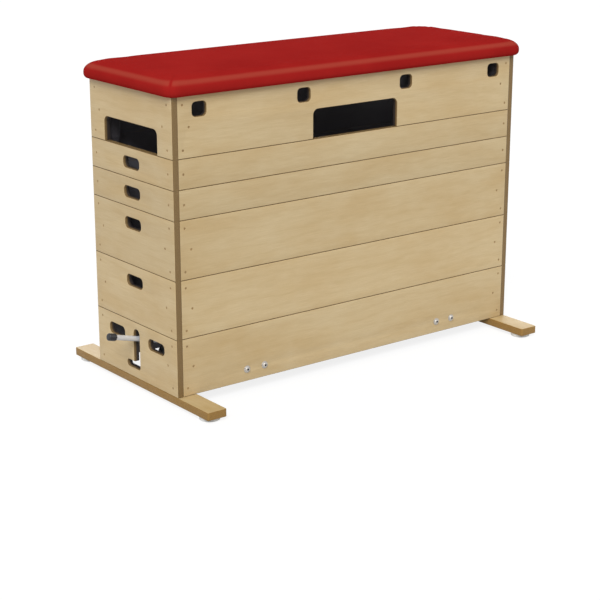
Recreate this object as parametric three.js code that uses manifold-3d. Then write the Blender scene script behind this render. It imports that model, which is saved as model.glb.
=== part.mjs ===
// Vaulting box: stacked plywood sections on two sledge boards, a padded top, and a hand lever that
// lowers four wheels. Millimetres, +Z up. X runs along the box with the lever end at low X, and Y runs
// across it with the front at low Y. The origin is on the floor, under the middle of the whole part.
import * as THREE from 'three';
import { mergeVertices } from 'three/addons/utils/BufferGeometryUtils.js';
import Module from 'manifold-3d';

const wasm = await Module();
wasm.setup();

// Gaps and overruns
const fitGap = 0.3;
const runningGap = 0.5;
const sideGap = 0.8;
const overrun = 3;

// The box and its sections
const boxLength = 1500;
const boxWidth = 500;
const panelThickness = 21;
const baseHeight = 200;
const tallSectionHeight = 200;
const lowSectionHeight = 100;
const topHeight = 200;

// Corner posts, and the tapered tongues under them that locate each section in the one below
const postSize = 50;
const tongueLength = 40;
const tongueClearance = 1.5;
const tongueTaper = 5;
const tongueHeadroom = 3;

// Hand holes in the ends
const handHoleWidth = 96;
const handHoleHeight = 38;
const handHoleRadius = 15;
const handHoleDepth = 56;
const baseHandHoleOffset = 123;

// Notches and square holes of the top section
const endNotchWidth = 320;
const endNotchHeight = 84;
const sideNotchLength = 370;
const sideNotchHeight = 101;
const notchRadius = 20;
const squareHoleWidth = 54;
const squareHoleHeight = 47;
const squareHoleRadius = 14;
const squareHoleDepth = 46;
const outerSquareHoleInset = 104;
const innerSquareHoleInset = 525;

// Padded top: a deck board, a foam pad and a cover that is turned under the board
const deckThickness = 18;
const padHeight = 63;
const padOverhang = 26;
const padCornerRadius = 40;
const padShoulderRadius = 38;
const padCrown = 2.5;
const padHemRadius = 20;
const coverThickness = 2;
const coverLap = 60;

// Sledge boards and their foot discs
const boardThickness = 27;
const boardWidth = 75;
const boardOverhang = 172;
const boardCornerRadius = 6;
const discRadius = 35;
const discThickness = 13;
const discInset = 45;
const discEdge = 2.5;
const discRecessRadius = 10;
const discRecessDepth = 6;

// Pivot shafts, their brackets and the bracket bolts
const pivotInset = 317;
const pivotRise = 43;
const shaftRadius = 10;
const bracketLength = 112;
const bracketDrop = 28;
const bracketRise = 46;
const bracketThickness = 5;
const bracketCornerRadius = 8;
const bossRadius = 20;
const bossLength = 20;
const boltSpacing = 74;
const boltRadius = 5;
const boltHeadRadius = 9;
const boltHeadHeight = 5;
const boltHeadDome = 1.5;
const boltSocketRadius = 4;
const boltSocketDepth = 3;
const washerRadius = 12.5;
const washerThickness = 2;
const nutRadius = 9.8;
const nutHeight = 8;
const stopPinRadius = 5;
const stopPinReach = 45;

// Lift frames: a hub tube on the shaft, two arms, a cross bar and a crank
const liftAngle = THREE.MathUtils.degToRad(17.4);
const hubRadius = 16;
const armThickness = 8;
const armEyeRadius = 22;
const armTipRise = 12;
const wheelReach = 115;
const wheelInset = 35;
const crossBarWidth = 40;
const crossBarThickness = 10;
const crankRadius = 40;
const crankOffset = 60;
const crankThickness = 8;
const crankEyeRadius = 13;
const crankPinRadius = 5;
const crankPinHeadRadius = 8;
const crankPinHeadThickness = 3;

// Tie rod between the cranks; its far eye has slack for the small rise of the pins in mid-travel
const tieRodRadius = 6;
const tieEyeRadius = 12;
const tieEyeThickness = 8;
const tieEyeSlack = 1.4;

// Lever, its socket on the lever frame, and the grip
const leverRadius = 9;
const leverOffset = 18;
const leverDrop = THREE.MathUtils.degToRad(3);
const leverReach = 447;
const socketRadius = 12;
const socketReach = 140;
const socketBack = 14;
const gripRadius = 13;
const gripLength = 30;
const gripEdge = 5;
const gripCover = 8;
const slotWidth = 35;
const slotSillGap = 3;
const slotLegGap = 2;
const slotLegReach = 62;
const slotCornerRadius = 8;

// Wheels and forks
const wheelRadius = 37.5;
const wheelThickness = 24;
const wheelLowering = 13;
const wheelHubRadius = 12;
const wheelRimRadius = 27;
const wheelWebThickness = 10;
const wheelEdge = 4;
const axleRadius = 4;
const axleHeadRadius = 7;
const axleHeadThickness = 2;
const forkPlateThickness = 3;
const forkEyeRadius = 9;
const forkSideGap = 2;
const forkTopLength = 40;
const castorTrail = 28;
const castorRaceRadius = 21;
const castorRaceThickness = 5;
const castorStemRadius = 6;
const castorNutRadius = 11;
const castorNutHeight = 8;

// Return springs, wound round the hub tube between each bracket and its arm
const springWireRadius = 2;
const springCoilRadius = 19;
const springTurns = 4;
const springEndGap = 0.9;
const springRoom = 24.7;
const springLegLength = 30;
const springTipLength = 6;
const springAttachAngle = THREE.MathUtils.degToRad(120);

// Facets
const arcSteps = 2;
const roundSides = 20;
const smallRoundSides = 12;
const wheelSides = 20;
const padCornerSteps = 6;
const padShoulderSteps = 6;
const padHemSteps = 3;
const wireSides = 5;
const coilSteps = 11;
const bendSteps = 3;
const quarterTurn = Math.PI / 2;

const plywood = new THREE.MeshStandardMaterial({ color: 0xc8b48a, roughness: 0.55, metalness: 0 });
const boardWood = new THREE.MeshStandardMaterial({ color: 0xb08a4a, roughness: 0.6, metalness: 0 });
const redCover = new THREE.MeshStandardMaterial({ color: 0x9e2021, roughness: 0.45, metalness: 0 });
const foam = new THREE.MeshStandardMaterial({ color: 0xd8d2b8, roughness: 0.95, metalness: 0 });
const whitePlastic = new THREE.MeshStandardMaterial({ color: 0xe6e6e4, roughness: 0.4, metalness: 0 });
const blackPlastic = new THREE.MeshStandardMaterial({ color: 0x232227, roughness: 0.5, metalness: 0 });
const zincSteel = new THREE.MeshStandardMaterial({ color: 0xc9ccd0, roughness: 0.3, metalness: 0.9 });
const paintedSteel = new THREE.MeshStandardMaterial({ color: 0x3a3d42, roughness: 0.5, metalness: 0.6 });
const greyRubber = new THREE.MeshStandardMaterial({ color: 0x6c6e70, roughness: 0.8, metalness: 0 });

const floorPanelGap = 2 * fitGap;
const panelBottom = discThickness + boardThickness + floorPanelGap;
const pivotHeight = panelBottom + pivotRise;
const innerHalfWidth = boxWidth / 2 - panelThickness;
const longPanelLength = boxLength - 2 * panelThickness - 2 * fitGap;
const pivotPlace = boxLength / 2 - pivotInset;

const model = new THREE.Group();

function addMesh(parent, name, geometry, material) {
  const mesh = new THREE.Mesh(geometry, material);
  mesh.name = name;
  parent.add(mesh);
  return mesh;
}

// A closed geometry as a solid for joining and cutting, and a solid as a geometry again.
function solidOf(geometry) {
  const plain = geometry.clone();
  plain.deleteAttribute('normal');
  plain.deleteAttribute('uv');
  const merged = mergeVertices(plain);
  return new wasm.Manifold(new wasm.Mesh({
    numProp: 3,
    vertProperties: merged.attributes.position.array,
    triVerts: new Uint32Array(merged.index.array),
  }));
}

function geometryOf(solid) {
  const mesh = solid.getMesh();
  const geometry = new THREE.BufferGeometry();
  geometry.setAttribute('position', new THREE.BufferAttribute(new Float32Array(mesh.vertProperties), 3));
  geometry.setIndex(new THREE.BufferAttribute(new Uint32Array(mesh.triVerts), 1));
  geometry.computeVertexNormals();
  return geometry;
}

function join(geometries) {
  return geometryOf(geometries.map(solidOf).reduce((sum, next) => sum.add(next)));
}

function cut(geometry, tools) {
  return geometryOf(tools.map(solidOf).reduce((rest, tool) => rest.subtract(tool), solidOf(geometry)));
}

// Simple solids between two places on each axis.
function block(x0, x1, y0, y1, z0, z1) {
  const geometry = new THREE.BoxGeometry(Math.abs(x1 - x0), Math.abs(y1 - y0), Math.abs(z1 - z0));
  return geometry.translate((x0 + x1) / 2, (y0 + y1) / 2, (z0 + z1) / 2);
}

function rodAlongY(radius, y0, y1, x, z, sides = roundSides) {
  const geometry = new THREE.CylinderGeometry(radius, radius, Math.abs(y1 - y0), sides);
  return geometry.translate(x, (y0 + y1) / 2, z);
}

function rodAlongZ(radius, z0, z1, x, y, sides = roundSides) {
  const geometry = new THREE.CylinderGeometry(radius, radius, Math.abs(z1 - z0), sides);
  return geometry.rotateX(quarterTurn).translate(x, y, (z0 + z1) / 2);
}

function rodAlongX(radius, x0, x1, y, z, sides = roundSides) {
  const geometry = new THREE.CylinderGeometry(radius, radius, Math.abs(x1 - x0), sides);
  return geometry.rotateZ(quarterTurn).translate((x0 + x1) / 2, y, z);
}

// Prisms: an outline in Y and Z along X, in X and Z along Y, or in X and Y along Z.
function extrude(shape, depth) {
  return new THREE.ExtrudeGeometry(shape, { depth, bevelEnabled: false, curveSegments: arcSteps });
}

function prismAlongX(shape, x0, x1) {
  const geometry = extrude(shape, Math.abs(x1 - x0)).rotateX(quarterTurn).rotateZ(quarterTurn);
  return geometry.translate(Math.min(x0, x1), 0, 0);
}

function prismAlongY(shape, y0, y1) {
  return extrude(shape, Math.abs(y1 - y0)).rotateX(quarterTurn).translate(0, Math.max(y0, y1), 0);
}

function prismAlongZ(shape, z0, z1) {
  return extrude(shape, Math.abs(z1 - z0)).translate(0, 0, Math.min(z0, z1));
}

function roundedRectangle(path, x, y, width, height, radius) {
  const right = x + width / 2 - radius;
  const left = x - width / 2 + radius;
  const top = y + height / 2 - radius;
  const bottom = y - height / 2 + radius;
  path.absarc(right, top, radius, 0, quarterTurn);
  path.absarc(left, top, radius, quarterTurn, 2 * quarterTurn);
  path.absarc(left, bottom, radius, 2 * quarterTurn, 3 * quarterTurn);
  path.absarc(right, bottom, radius, 3 * quarterTurn, 4 * quarterTurn);
  return path;
}

function circle(path, x, y, radius) {
  return roundedRectangle(path, x, y, 2 * radius, 2 * radius, radius);
}

// A solid of revolution, from a profile of radius and height that starts and ends on the axis, or that
// closes on itself. It turns about Y until it is rotated.
function turned(profile, sides = roundSides) {
  const points = profile.map(([radius, height]) => new THREE.Vector2(radius, height));
  return new THREE.LatheGeometry(points, sides);
}

// Rings of equal length joined into one closed skin, with both ends filled. The first ring is the
// lowest.
function loftRings(rings) {
  const count = rings[0].length;
  const places = [];
  const faces = [];
  for (const ring of rings) {
    for (const point of ring) {
      places.push(point.x, point.y, point.z);
    }
  }
  for (let r = 0; r + 1 < rings.length; r++) {
    for (let i = 0; i < count; i++) {
      const a = r * count + i;
      const b = r * count + (i + 1) % count;
      faces.push(a, b, b + count, a, b + count, a + count);
    }
  }
  const last = (rings.length - 1) * count;
  for (let i = 1; i + 1 < count; i++) {
    faces.push(0, i + 1, i);
    faces.push(last, last + i, last + i + 1);
  }
  const geometry = new THREE.BufferGeometry();
  geometry.setAttribute('position', new THREE.Float32BufferAttribute(places, 3));
  geometry.setIndex(faces);
  geometry.computeVertexNormals();
  return geometry;
}

// A wire: a round section carried along points, turned from one to the next as little as it can be.
function wireAlong(points, radius, sides) {
  const rings = [];
  const side = new THREE.Vector3();
  points.forEach((point, i) => {
    const before = points[Math.max(i - 1, 0)];
    const after = points[Math.min(i + 1, points.length - 1)];
    const along = after.clone().sub(before).normalize();
    if (i === 0) {
      side.set(along.z, along.x, along.y);
    }
    side.addScaledVector(along, -side.dot(along)).normalize();
    const across = along.clone().cross(side);
    rings.push(Array.from({ length: sides }, (_, k) => {
      const angle = 4 * quarterTurn * k / sides;
      const ringPoint = point.clone().addScaledVector(side, radius * Math.cos(angle));
      return ringPoint.addScaledVector(across, radius * Math.sin(angle));
    }));
  });
  return loftRings(rings);
}

// Heights of the lever's centre line where it passes through the end panel, at a slope of the lever.
const slotDistance = pivotInset - panelThickness / 2;
const leverHeightAt = (slope) => slotDistance * Math.tan(slope) + leverOffset / Math.cos(slope);
const leverRaised = pivotRise + leverHeightAt(liftAngle - leverDrop);
const leverLowered = pivotRise + leverHeightAt(-leverDrop);

// The slot for the lever: a channel with a round top, halfway from the raised lever to the panel's top
// edge, and a leg at its foot where the lowered lever is parked.
function leverSlot() {
  const top = (leverRaised + leverRadius + baseHeight) / 2;
  const half = slotWidth / 2;
  const sill = leverLowered - leverRadius - slotSillGap;
  const legTop = leverLowered + leverRadius + slotLegGap;
  const legRadius = (legTop - sill) / 2;
  const path = new THREE.Path();
  const cornerX = -half + slotCornerRadius;
  path.absarc(cornerX, sill + slotCornerRadius, slotCornerRadius, 2 * quarterTurn, 3 * quarterTurn);
  path.absarc(slotLegReach - legRadius, sill + legRadius, legRadius, -quarterTurn, quarterTurn);
  path.lineTo(half, legTop);
  path.absarc(0, top - half, half, 0, 2 * quarterTurn);
  return path;
}

// Outlines of the panels, from the middle of the lower edge.
function plainPanel(length, height) {
  const shape = new THREE.Shape();
  shape.moveTo(-length / 2, 0);
  shape.lineTo(length / 2, 0);
  shape.lineTo(length / 2, height);
  shape.lineTo(-length / 2, height);
  return shape;
}

function notchedPanel(length, height, notchLength, notchHeight) {
  const shape = new THREE.Shape();
  const arcX = notchLength / 2 - notchRadius;
  const arcHeight = notchHeight - notchRadius;
  shape.moveTo(-length / 2, 0);
  shape.lineTo(-notchLength / 2, 0);
  shape.absarc(-arcX, arcHeight, notchRadius, 2 * quarterTurn, quarterTurn, true);
  shape.absarc(arcX, arcHeight, notchRadius, quarterTurn, 0, true);
  shape.lineTo(notchLength / 2, 0);
  shape.lineTo(length / 2, 0);
  shape.lineTo(length / 2, height);
  shape.lineTo(-length / 2, height);
  return shape;
}

function handHole(y, z) {
  return roundedRectangle(new THREE.Path(), y, z, handHoleWidth, handHoleHeight, handHoleRadius);
}

// Corner post with the tongue below it. The top section's posts carry the deck, and the base's posts
// have no tongue.
function post(side, end, bottom, top, hasTongue) {
  const outerX = end * longPanelLength / 2;
  const outerY = side * (innerHalfWidth + overrun);
  const innerY = side * (innerHalfWidth - postSize);
  const solids = [block(outerX, outerX - end * postSize, outerY, innerY, bottom, top)];
  if (hasTongue) {
    const rootHalf = postSize / 2 - tongueClearance;
    const tipHalf = rootHalf - tongueTaper;
    const length = tongueLength + overrun;
    const tongue = new THREE.CylinderGeometry(rootHalf * Math.SQRT2, tipHalf * Math.SQRT2, length, 4);
    tongue.rotateY(quarterTurn / 2).rotateX(quarterTurn);
    const centreX = outerX - end * postSize / 2;
    const centreY = side * (innerHalfWidth - postSize / 2);
    solids.push(tongue.translate(centreX, centreY, bottom + overrun - length / 2));
  }
  return solids;
}

const boltSteps = [-boltSpacing / 2, boltSpacing / 2];
const boltPlaces = [-pivotPlace, pivotPlace].flatMap((pivot) => boltSteps.map((step) => pivot + step));

const sections = [
  { name: 'base', height: baseHeight },
  { name: 'section_2', height: tallSectionHeight },
  { name: 'section_3', height: tallSectionHeight },
  { name: 'section_4', height: lowSectionHeight },
  { name: 'section_5', height: lowSectionHeight },
  { name: 'top', height: topHeight },
];

function endPanelShape(section, hasLever) {
  const height = section.height - fitGap;
  if (section.name === 'top') {
    return notchedPanel(boxWidth, height, endNotchWidth, endNotchHeight);
  }
  const shape = plainPanel(boxWidth, height);
  const holeHeight = Math.max(section.height - handHoleDepth, section.height / 2);
  if (section.name === 'base') {
    for (const side of [-1, 1]) {
      shape.holes.push(handHole(side * baseHandHoleOffset, holeHeight));
    }
    if (hasLever) {
      shape.holes.push(leverSlot());
    }
  } else {
    shape.holes.push(handHole(0, holeHeight));
  }
  return shape;
}

// The wide notch of the top section is in its front panel only.
function longPanelShape(section, isFront) {
  const height = section.height - fitGap;
  if (section.name === 'top') {
    const shape = isFront
      ? notchedPanel(longPanelLength, height, sideNotchLength, sideNotchHeight)
      : plainPanel(longPanelLength, height);
    for (const inset of [outerSquareHoleInset, innerSquareHoleInset]) {
      for (const end of [-1, 1]) {
        const hole = new THREE.Path();
        const x = end * (boxLength / 2 - inset);
        const z = section.height - squareHoleDepth;
        roundedRectangle(hole, x, z, squareHoleWidth, squareHoleHeight, squareHoleRadius);
        shape.holes.push(hole);
      }
    }
    return shape;
  }
  const shape = plainPanel(longPanelLength, height);
  if (section.name === 'base') {
    for (const place of boltPlaces) {
      shape.holes.push(circle(new THREE.Path(), place, pivotRise, boltRadius + runningGap));
    }
  }
  return shape;
}

let sectionBottom = panelBottom;
for (const section of sections) {
  const group = new THREE.Group();
  group.position.z = sectionBottom;
  model.add(group);
  for (const [end, label] of [[-1, 'lever_end'], [1, 'far_end']]) {
    const outer = end * boxLength / 2;
    const panel = prismAlongX(endPanelShape(section, end < 0), outer, outer - end * panelThickness);
    addMesh(group, section.name + '_' + label + '_panel', panel, plywood);
  }
  const postTop = section.height - fitGap - (section.name === 'top' ? 0 : tongueLength + tongueHeadroom);
  for (const [side, label] of [[-1, 'front'], [1, 'rear']]) {
    const outer = side * boxWidth / 2;
    const shape = longPanelShape(section, side < 0);
    const panel = prismAlongY(shape, outer, outer - side * panelThickness);
    const posts = [-1, 1].flatMap((end) => post(side, end, 0, postTop, section.name !== 'base'));
    addMesh(group, section.name + '_' + label + '_panel', join([panel, ...posts]), plywood);
  }
  sectionBottom += section.height;
}

// Outline of the pad at an inset from its widest edge and a height above the box, as a ring of points.
function padRing(inset, height) {
  const halfLength = boxLength / 2 + padOverhang - inset;
  const halfWidth = boxWidth / 2 + padOverhang - inset;
  const radius = Math.max(padCornerRadius - inset, padCornerRadius / padCornerSteps);
  const ring = [];
  for (let corner = 0; corner < 4; corner++) {
    const signX = corner === 0 || corner === 3 ? 1 : -1;
    const signY = corner < 2 ? 1 : -1;
    for (let step = 0; step <= padCornerSteps; step++) {
      const angle = (corner + step / padCornerSteps) * quarterTurn;
      const x = signX * (halfLength - radius) + radius * Math.cos(angle);
      const y = signY * (halfWidth - radius) + radius * Math.sin(angle);
      ring.push(new THREE.Vector3(x, y, height));
    }
  }
  return ring;
}

// The pad's skin from the shoulder inwards, at a depth under its outer face: a round shoulder and a
// slight crown.
const crownInsetShares = [0.25, 0.5, 0.8];
function padShoulderAndCrown(depth) {
  const rings = [];
  const edgeHeight = padHeight - padCrown;
  for (let step = 0; step <= padShoulderSteps; step++) {
    const angle = quarterTurn * step / padShoulderSteps;
    const inset = padShoulderRadius - (padShoulderRadius - depth) * Math.cos(angle);
    const height = edgeHeight - padShoulderRadius + (padShoulderRadius - depth) * Math.sin(angle);
    rings.push(padRing(inset, height));
  }
  const reach = boxWidth / 2 + padOverhang - padShoulderRadius;
  for (const share of crownInsetShares) {
    const rise = padCrown * Math.sin(quarterTurn * share / crownInsetShares.at(-1));
    rings.push(padRing(padShoulderRadius + reach * share, edgeHeight + rise - depth));
  }
  return rings;
}

// The pad's round lower edge at a depth under its outer face, from its side to its underside.
function padHem(depth) {
  const rings = [];
  for (let step = 0; step <= padHemSteps; step++) {
    const angle = quarterTurn * step / padHemSteps;
    const inset = padHemRadius - (padHemRadius - depth) * Math.cos(angle);
    const height = padHemRadius - (padHemRadius - depth) * Math.sin(angle);
    rings.push(padRing(inset, height));
  }
  return rings;
}

// Padded top: the foam lies on the deck board, and the cover goes over both and is turned under the
// board, which lies on the top section.
function addPaddedTop(boxTop) {
  const group = new THREE.Group();
  group.position.z = boxTop;
  model.add(group);
  const boardInset = coverThickness + fitGap;
  const deckTop = boardInset + deckThickness;
  const deck = loftRings([...padHem(boardInset).reverse(), padRing(boardInset, deckTop)]);
  addMesh(group, 'deck_board', deck, plywood);
  const foamBottom = deckTop + fitGap;
  const foamRings = [padRing(boardInset, foamBottom), ...padShoulderAndCrown(boardInset)];
  addMesh(group, 'foam_pad', loftRings(foamRings), foam);
  const coverRings = [
    ...padShoulderAndCrown(coverThickness).reverse(),
    ...padHem(coverThickness),
    padRing(coverLap, coverThickness),
    padRing(coverLap, 0),
    ...padHem(0).reverse(),
    ...padShoulderAndCrown(0),
  ];
  const cover = loftRings(coverRings);
  addMesh(group, 'pad_cover', cover, redCover);
}
addPaddedTop(sectionBottom);

// Sledge boards under the end panels, each on two foot discs.
for (const [end, endLabel] of [[-1, 'lever'], [1, 'far']]) {
  const centreX = end * (boxLength - boardWidth) / 2;
  const boardLength = boxWidth + 2 * boardOverhang;
  const outline = new THREE.Shape();
  roundedRectangle(outline, centreX, 0, boardWidth, boardLength, boardCornerRadius);
  const boardBottom = discThickness + fitGap;
  const board = prismAlongZ(outline, boardBottom, boardBottom + boardThickness);
  addMesh(model, endLabel + '_sledge_board', board, boardWood);
  for (const [side, sideLabel] of [[-1, 'front'], [1, 'rear']]) {
    const disc = turned([
      [0, discRecessDepth],
      [discRecessRadius, discRecessDepth],
      [discRecessRadius, 0],
      [discRadius - discEdge, 0],
      [discRadius, discEdge],
      [discRadius, discThickness],
      [0, discThickness],
    ]).rotateX(quarterTurn);
    disc.translate(centreX, side * (boardLength / 2 - discInset), 0);
    addMesh(model, endLabel + '_' + sideLabel + '_foot_disc', disc, whitePlastic);
  }
}

// Sizes and places in a lift frame's own axes: the frame is level when its wheels are down.
const axleDrop = pivotHeight + wheelLowering - wheelRadius;
const bossFace = innerHalfWidth - fitGap - bracketThickness - bossLength;
const armOuterFace = bossFace - springRoom;
const armInnerFace = armOuterFace - armThickness;
const wheelSpacing = armInnerFace + armOuterFace - 2 * wheelInset;
const armTip = wheelReach + crossBarWidth / 2;

// A place in the lever frame's axes as a place in the box's axes once the frame is raised, both from
// the pivot, and the same the other way round.
const liftCos = Math.cos(liftAngle);
const liftSin = Math.sin(liftAngle);

function raised(x, z) {
  return [x * liftCos + z * liftSin, z * liftCos - x * liftSin];
}

function lowered(x, z) {
  return [x * liftCos - z * liftSin, z * liftCos + x * liftSin];
}

// The stop pin stands over the upper edge of the raised arm.
function stopPinPlace() {
  const edgeSlope = Math.atan2(armEyeRadius - armTipRise, armTip);
  const edgeHeight = armEyeRadius - stopPinReach * Math.tan(edgeSlope);
  const stand = stopPinRadius + fitGap;
  return raised(-stopPinReach - stand * Math.sin(edgeSlope), edgeHeight + stand * Math.cos(edgeSlope));
}

// The spring hooks into the bracket's plate above the shaft, and into the arm at its other leg's end.
const springFixedPlace = [springLegLength, springCoilRadius];
const springArmPlace = [
  springCoilRadius * Math.cos(springAttachAngle) - springLegLength * Math.sin(springAttachAngle),
  springCoilRadius * Math.sin(springAttachAngle) + springLegLength * Math.cos(springAttachAngle),
];

// Pivot brackets, their bolts, the shafts and the springs are fixed to the base.
for (const [end, endLabel] of [[-1, 'lever'], [1, 'far']]) {
  const pivot = new THREE.Group();
  pivot.position.set(end * pivotPlace, 0, pivotHeight);
  model.add(pivot);
  const [stopX, stopZ] = stopPinPlace();
  for (const [side, sideLabel] of [[-1, 'front'], [1, 'rear']]) {
    const plateOuter = side * (innerHalfWidth - fitGap);
    const plateInner = plateOuter - side * bracketThickness;
    const plateMiddle = (bracketRise - bracketDrop) / 2;
    const plateHeight = bracketRise + bracketDrop;
    const outline = new THREE.Shape();
    roundedRectangle(outline, 0, plateMiddle, bracketLength, plateHeight, bracketCornerRadius);
    for (const step of boltSteps) {
      outline.holes.push(circle(new THREE.Path(), step, 0, boltRadius + runningGap));
    }
    const [hookX, hookZ] = springFixedPlace;
    outline.holes.push(circle(new THREE.Path(), -end * hookX, hookZ, springWireRadius + runningGap));
    const rootY = plateOuter - side * fitGap;
    const boss = rodAlongY(bossRadius, rootY, side * bossFace, 0, 0);
    const pinX = -end * stopX;
    const stopPin = rodAlongY(stopPinRadius, rootY, side * armInnerFace, pinX, stopZ, smallRoundSides);
    const boreOuter = plateOuter + side * overrun;
    const boreInner = side * (bossFace - overrun);
    const bore = rodAlongY(shaftRadius + runningGap, boreOuter, boreInner, 0, 0);
    const bracket = cut(join([prismAlongY(outline, plateOuter, plateInner), boss, stopPin]), [bore]);
    addMesh(pivot, endLabel + '_' + sideLabel + '_bracket', bracket, paintedSteel);

    const outerFace = panelThickness + fitGap;
    const headBase = outerFace + fitGap + washerThickness;
    const nutFace = -(bracketThickness + fitGap);
    const boltEnd = nutFace - nutHeight - boltHeadDome;
    for (const [step, stepLabel] of [[-end, 'inner'], [end, 'outer']]) {
      const shank = turned([
        [0, boltEnd],
        [boltRadius, boltEnd],
        [boltRadius, outerFace + fitGap],
        [washerRadius, outerFace + fitGap],
        [washerRadius, headBase],
        [boltHeadRadius, headBase],
        [boltHeadRadius, headBase + boltHeadHeight - boltHeadDome],
        [boltHeadRadius - boltHeadDome, headBase + boltHeadHeight],
        [boltSocketRadius, headBase + boltHeadHeight],
        [boltSocketRadius, headBase + boltHeadHeight - boltSocketDepth],
        [0, headBase + boltHeadHeight - boltSocketDepth],
      ], smallRoundSides);
      const nut = new THREE.CylinderGeometry(nutRadius, nutRadius, nutHeight, 6);
      nut.translate(0, nutFace - nutHeight / 2, 0);
      const bolt = join([shank, nut]);
      if (side < 0) {
        bolt.rotateZ(2 * quarterTurn);
      }
      bolt.translate(step * boltSpacing / 2, plateOuter, 0);
      addMesh(pivot, endLabel + '_' + sideLabel + '_' + stepLabel + '_bolt', bolt, zincSteel);
    }
  }
  const shaftEnd = innerHalfWidth - 2 * fitGap;
  const shaft = rodAlongY(shaftRadius, -shaftEnd, shaftEnd, 0, 0);
  addMesh(pivot, endLabel + '_pivot_shaft', shaft, zincSteel);
}

// One torsion spring as its centre line: a hooked leg in the arm, the coil, and a hooked leg in the
// bracket's plate.
const springBendRadius = springEndGap + springWireRadius;
function springPoints(side) {
  const coilInner = armOuterFace + springEndGap + springWireRadius;
  const coilOuter = bossFace - springEndGap - springWireRadius;
  const armTipY = armOuterFace - springTipLength;
  const plateTipY = innerHalfWidth - fitGap - bracketThickness + springWireRadius;
  const points = [];
  const add = (x, y, z) => points.push(new THREE.Vector3(x, side * y, z));
  const bend = (corner, fromDirection, toDirection) => {
    for (let step = 0; step <= bendSteps; step++) {
      const angle = quarterTurn * step / bendSteps;
      const back = springBendRadius * (1 - Math.sin(angle));
      const ahead = springBendRadius * (1 - Math.cos(angle));
      const place = corner.clone().addScaledVector(fromDirection, -back);
      place.addScaledVector(toDirection, ahead);
      add(place.x, place.y, place.z);
    }
  };
  const armLeg = new THREE.Vector3(Math.sin(springAttachAngle), 0, -Math.cos(springAttachAngle));
  const outwards = new THREE.Vector3(0, 1, 0);
  add(springArmPlace[0], armTipY, springArmPlace[1]);
  bend(new THREE.Vector3(springArmPlace[0], coilInner, springArmPlace[1]), outwards, armLeg);
  const sweep = springTurns * 4 * quarterTurn + springAttachAngle - quarterTurn;
  const steps = Math.round(sweep / (4 * quarterTurn) * coilSteps);
  for (let step = 0; step <= steps; step++) {
    const angle = springAttachAngle - sweep * step / steps;
    const y = coilInner + (coilOuter - coilInner) * step / steps;
    add(springCoilRadius * Math.cos(angle), y, springCoilRadius * Math.sin(angle));
  }
  const [hookX, hookZ] = springFixedPlace;
  bend(new THREE.Vector3(hookX, coilOuter, hookZ), new THREE.Vector3(1, 0, 0), outwards);
  add(hookX, plateTipY, hookZ);
  return side < 0 ? points : points.reverse();
}

// Least clear distance between two stretches of a wire that lie more than half a turn apart along it.
function leastGapToItself(points, radius, halfTurn) {
  const along = [0];
  for (let i = 1; i < points.length; i++) {
    along.push(along[i - 1] + points[i].distanceTo(points[i - 1]));
  }
  let least = Infinity;
  for (let i = 0; i < points.length; i++) {
    for (let j = i + 1; j < points.length; j++) {
      if (along[j] - along[i] > halfTurn) {
        least = Math.min(least, points[i].distanceTo(points[j]) - 2 * radius);
      }
    }
  }
  return least;
}

for (const [side, sideLabel] of [[-1, 'front'], [1, 'rear']]) {
  const points = springPoints(side);
  const spring = wireAlong(points, springWireRadius, wireSides);
  spring.translate(-pivotPlace, 0, pivotHeight);
  addMesh(model, sideLabel + '_return_spring', spring, zincSteel);
  const gap = leastGapToItself(points, springWireRadius, 2 * quarterTurn * springCoilRadius);
  console.log(sideLabel + ' return spring: least gap to itself', gap.toFixed(2), 'mm');
}

// A crank with its headed pin, seen along Y: it stands from the hub to the pin.
function crank(pinX, pinZ) {
  const inner = crankOffset - crankThickness / 2;
  const outer = crankOffset + crankThickness / 2;
  const headBase = outer + 2 * sideGap + tieEyeThickness;
  const headTop = headBase + crankPinHeadThickness;
  const angle = Math.atan2(pinZ, pinX);
  const outline = new THREE.Shape();
  outline.absarc(pinX, pinZ, crankEyeRadius, angle - quarterTurn, angle + quarterTurn);
  outline.lineTo(-hubRadius * Math.sin(angle), hubRadius * Math.cos(angle));
  outline.lineTo(hubRadius * Math.sin(angle), -hubRadius * Math.cos(angle));
  return [
    prismAlongY(outline, inner, outer),
    rodAlongY(crankPinRadius, outer - fitGap, headBase + fitGap, pinX, pinZ, smallRoundSides),
    rodAlongY(crankPinHeadRadius, headBase, headTop, pinX, pinZ, smallRoundSides),
  ];
}

// Crank pins when the wheels are down: half the travel past upright, above the lever frame's hub and
// below the far frame's.
const leverPin = [-crankRadius * Math.sin(liftAngle / 2), crankRadius * Math.cos(liftAngle / 2)];
const farPin = [-crankRadius * Math.sin(liftAngle / 2), -crankRadius * Math.cos(liftAngle / 2)];

// Hub, arms and cross bar, welded, with the arms towards an end of the box.
function liftFrame(end, extras) {
  const outline = new THREE.Shape();
  outline.moveTo(-armTip, -crossBarThickness);
  outline.lineTo(0, -armEyeRadius);
  outline.absarc(0, 0, armEyeRadius, -quarterTurn, quarterTurn);
  outline.lineTo(-armTip, armTipRise);
  const solids = [rodAlongY(hubRadius, sideGap - bossFace, bossFace - sideGap, 0, 0)];
  for (const side of [-1, 1]) {
    solids.push(prismAlongY(outline, side * armInnerFace, side * armOuterFace));
  }
  const barX = [-wheelReach - crossBarWidth / 2, -wheelReach + crossBarWidth / 2];
  solids.push(block(barX[0], barX[1], -armOuterFace, armOuterFace, -crossBarThickness, 0));
  if (end > 0) {
    solids.forEach((solid) => solid.rotateZ(2 * quarterTurn));
  }
  const bore = rodAlongY(shaftRadius + runningGap, -bossFace, bossFace, 0, 0);
  return cut(join([...solids, ...extras.added]), [bore, ...extras.removed]);
}

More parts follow.
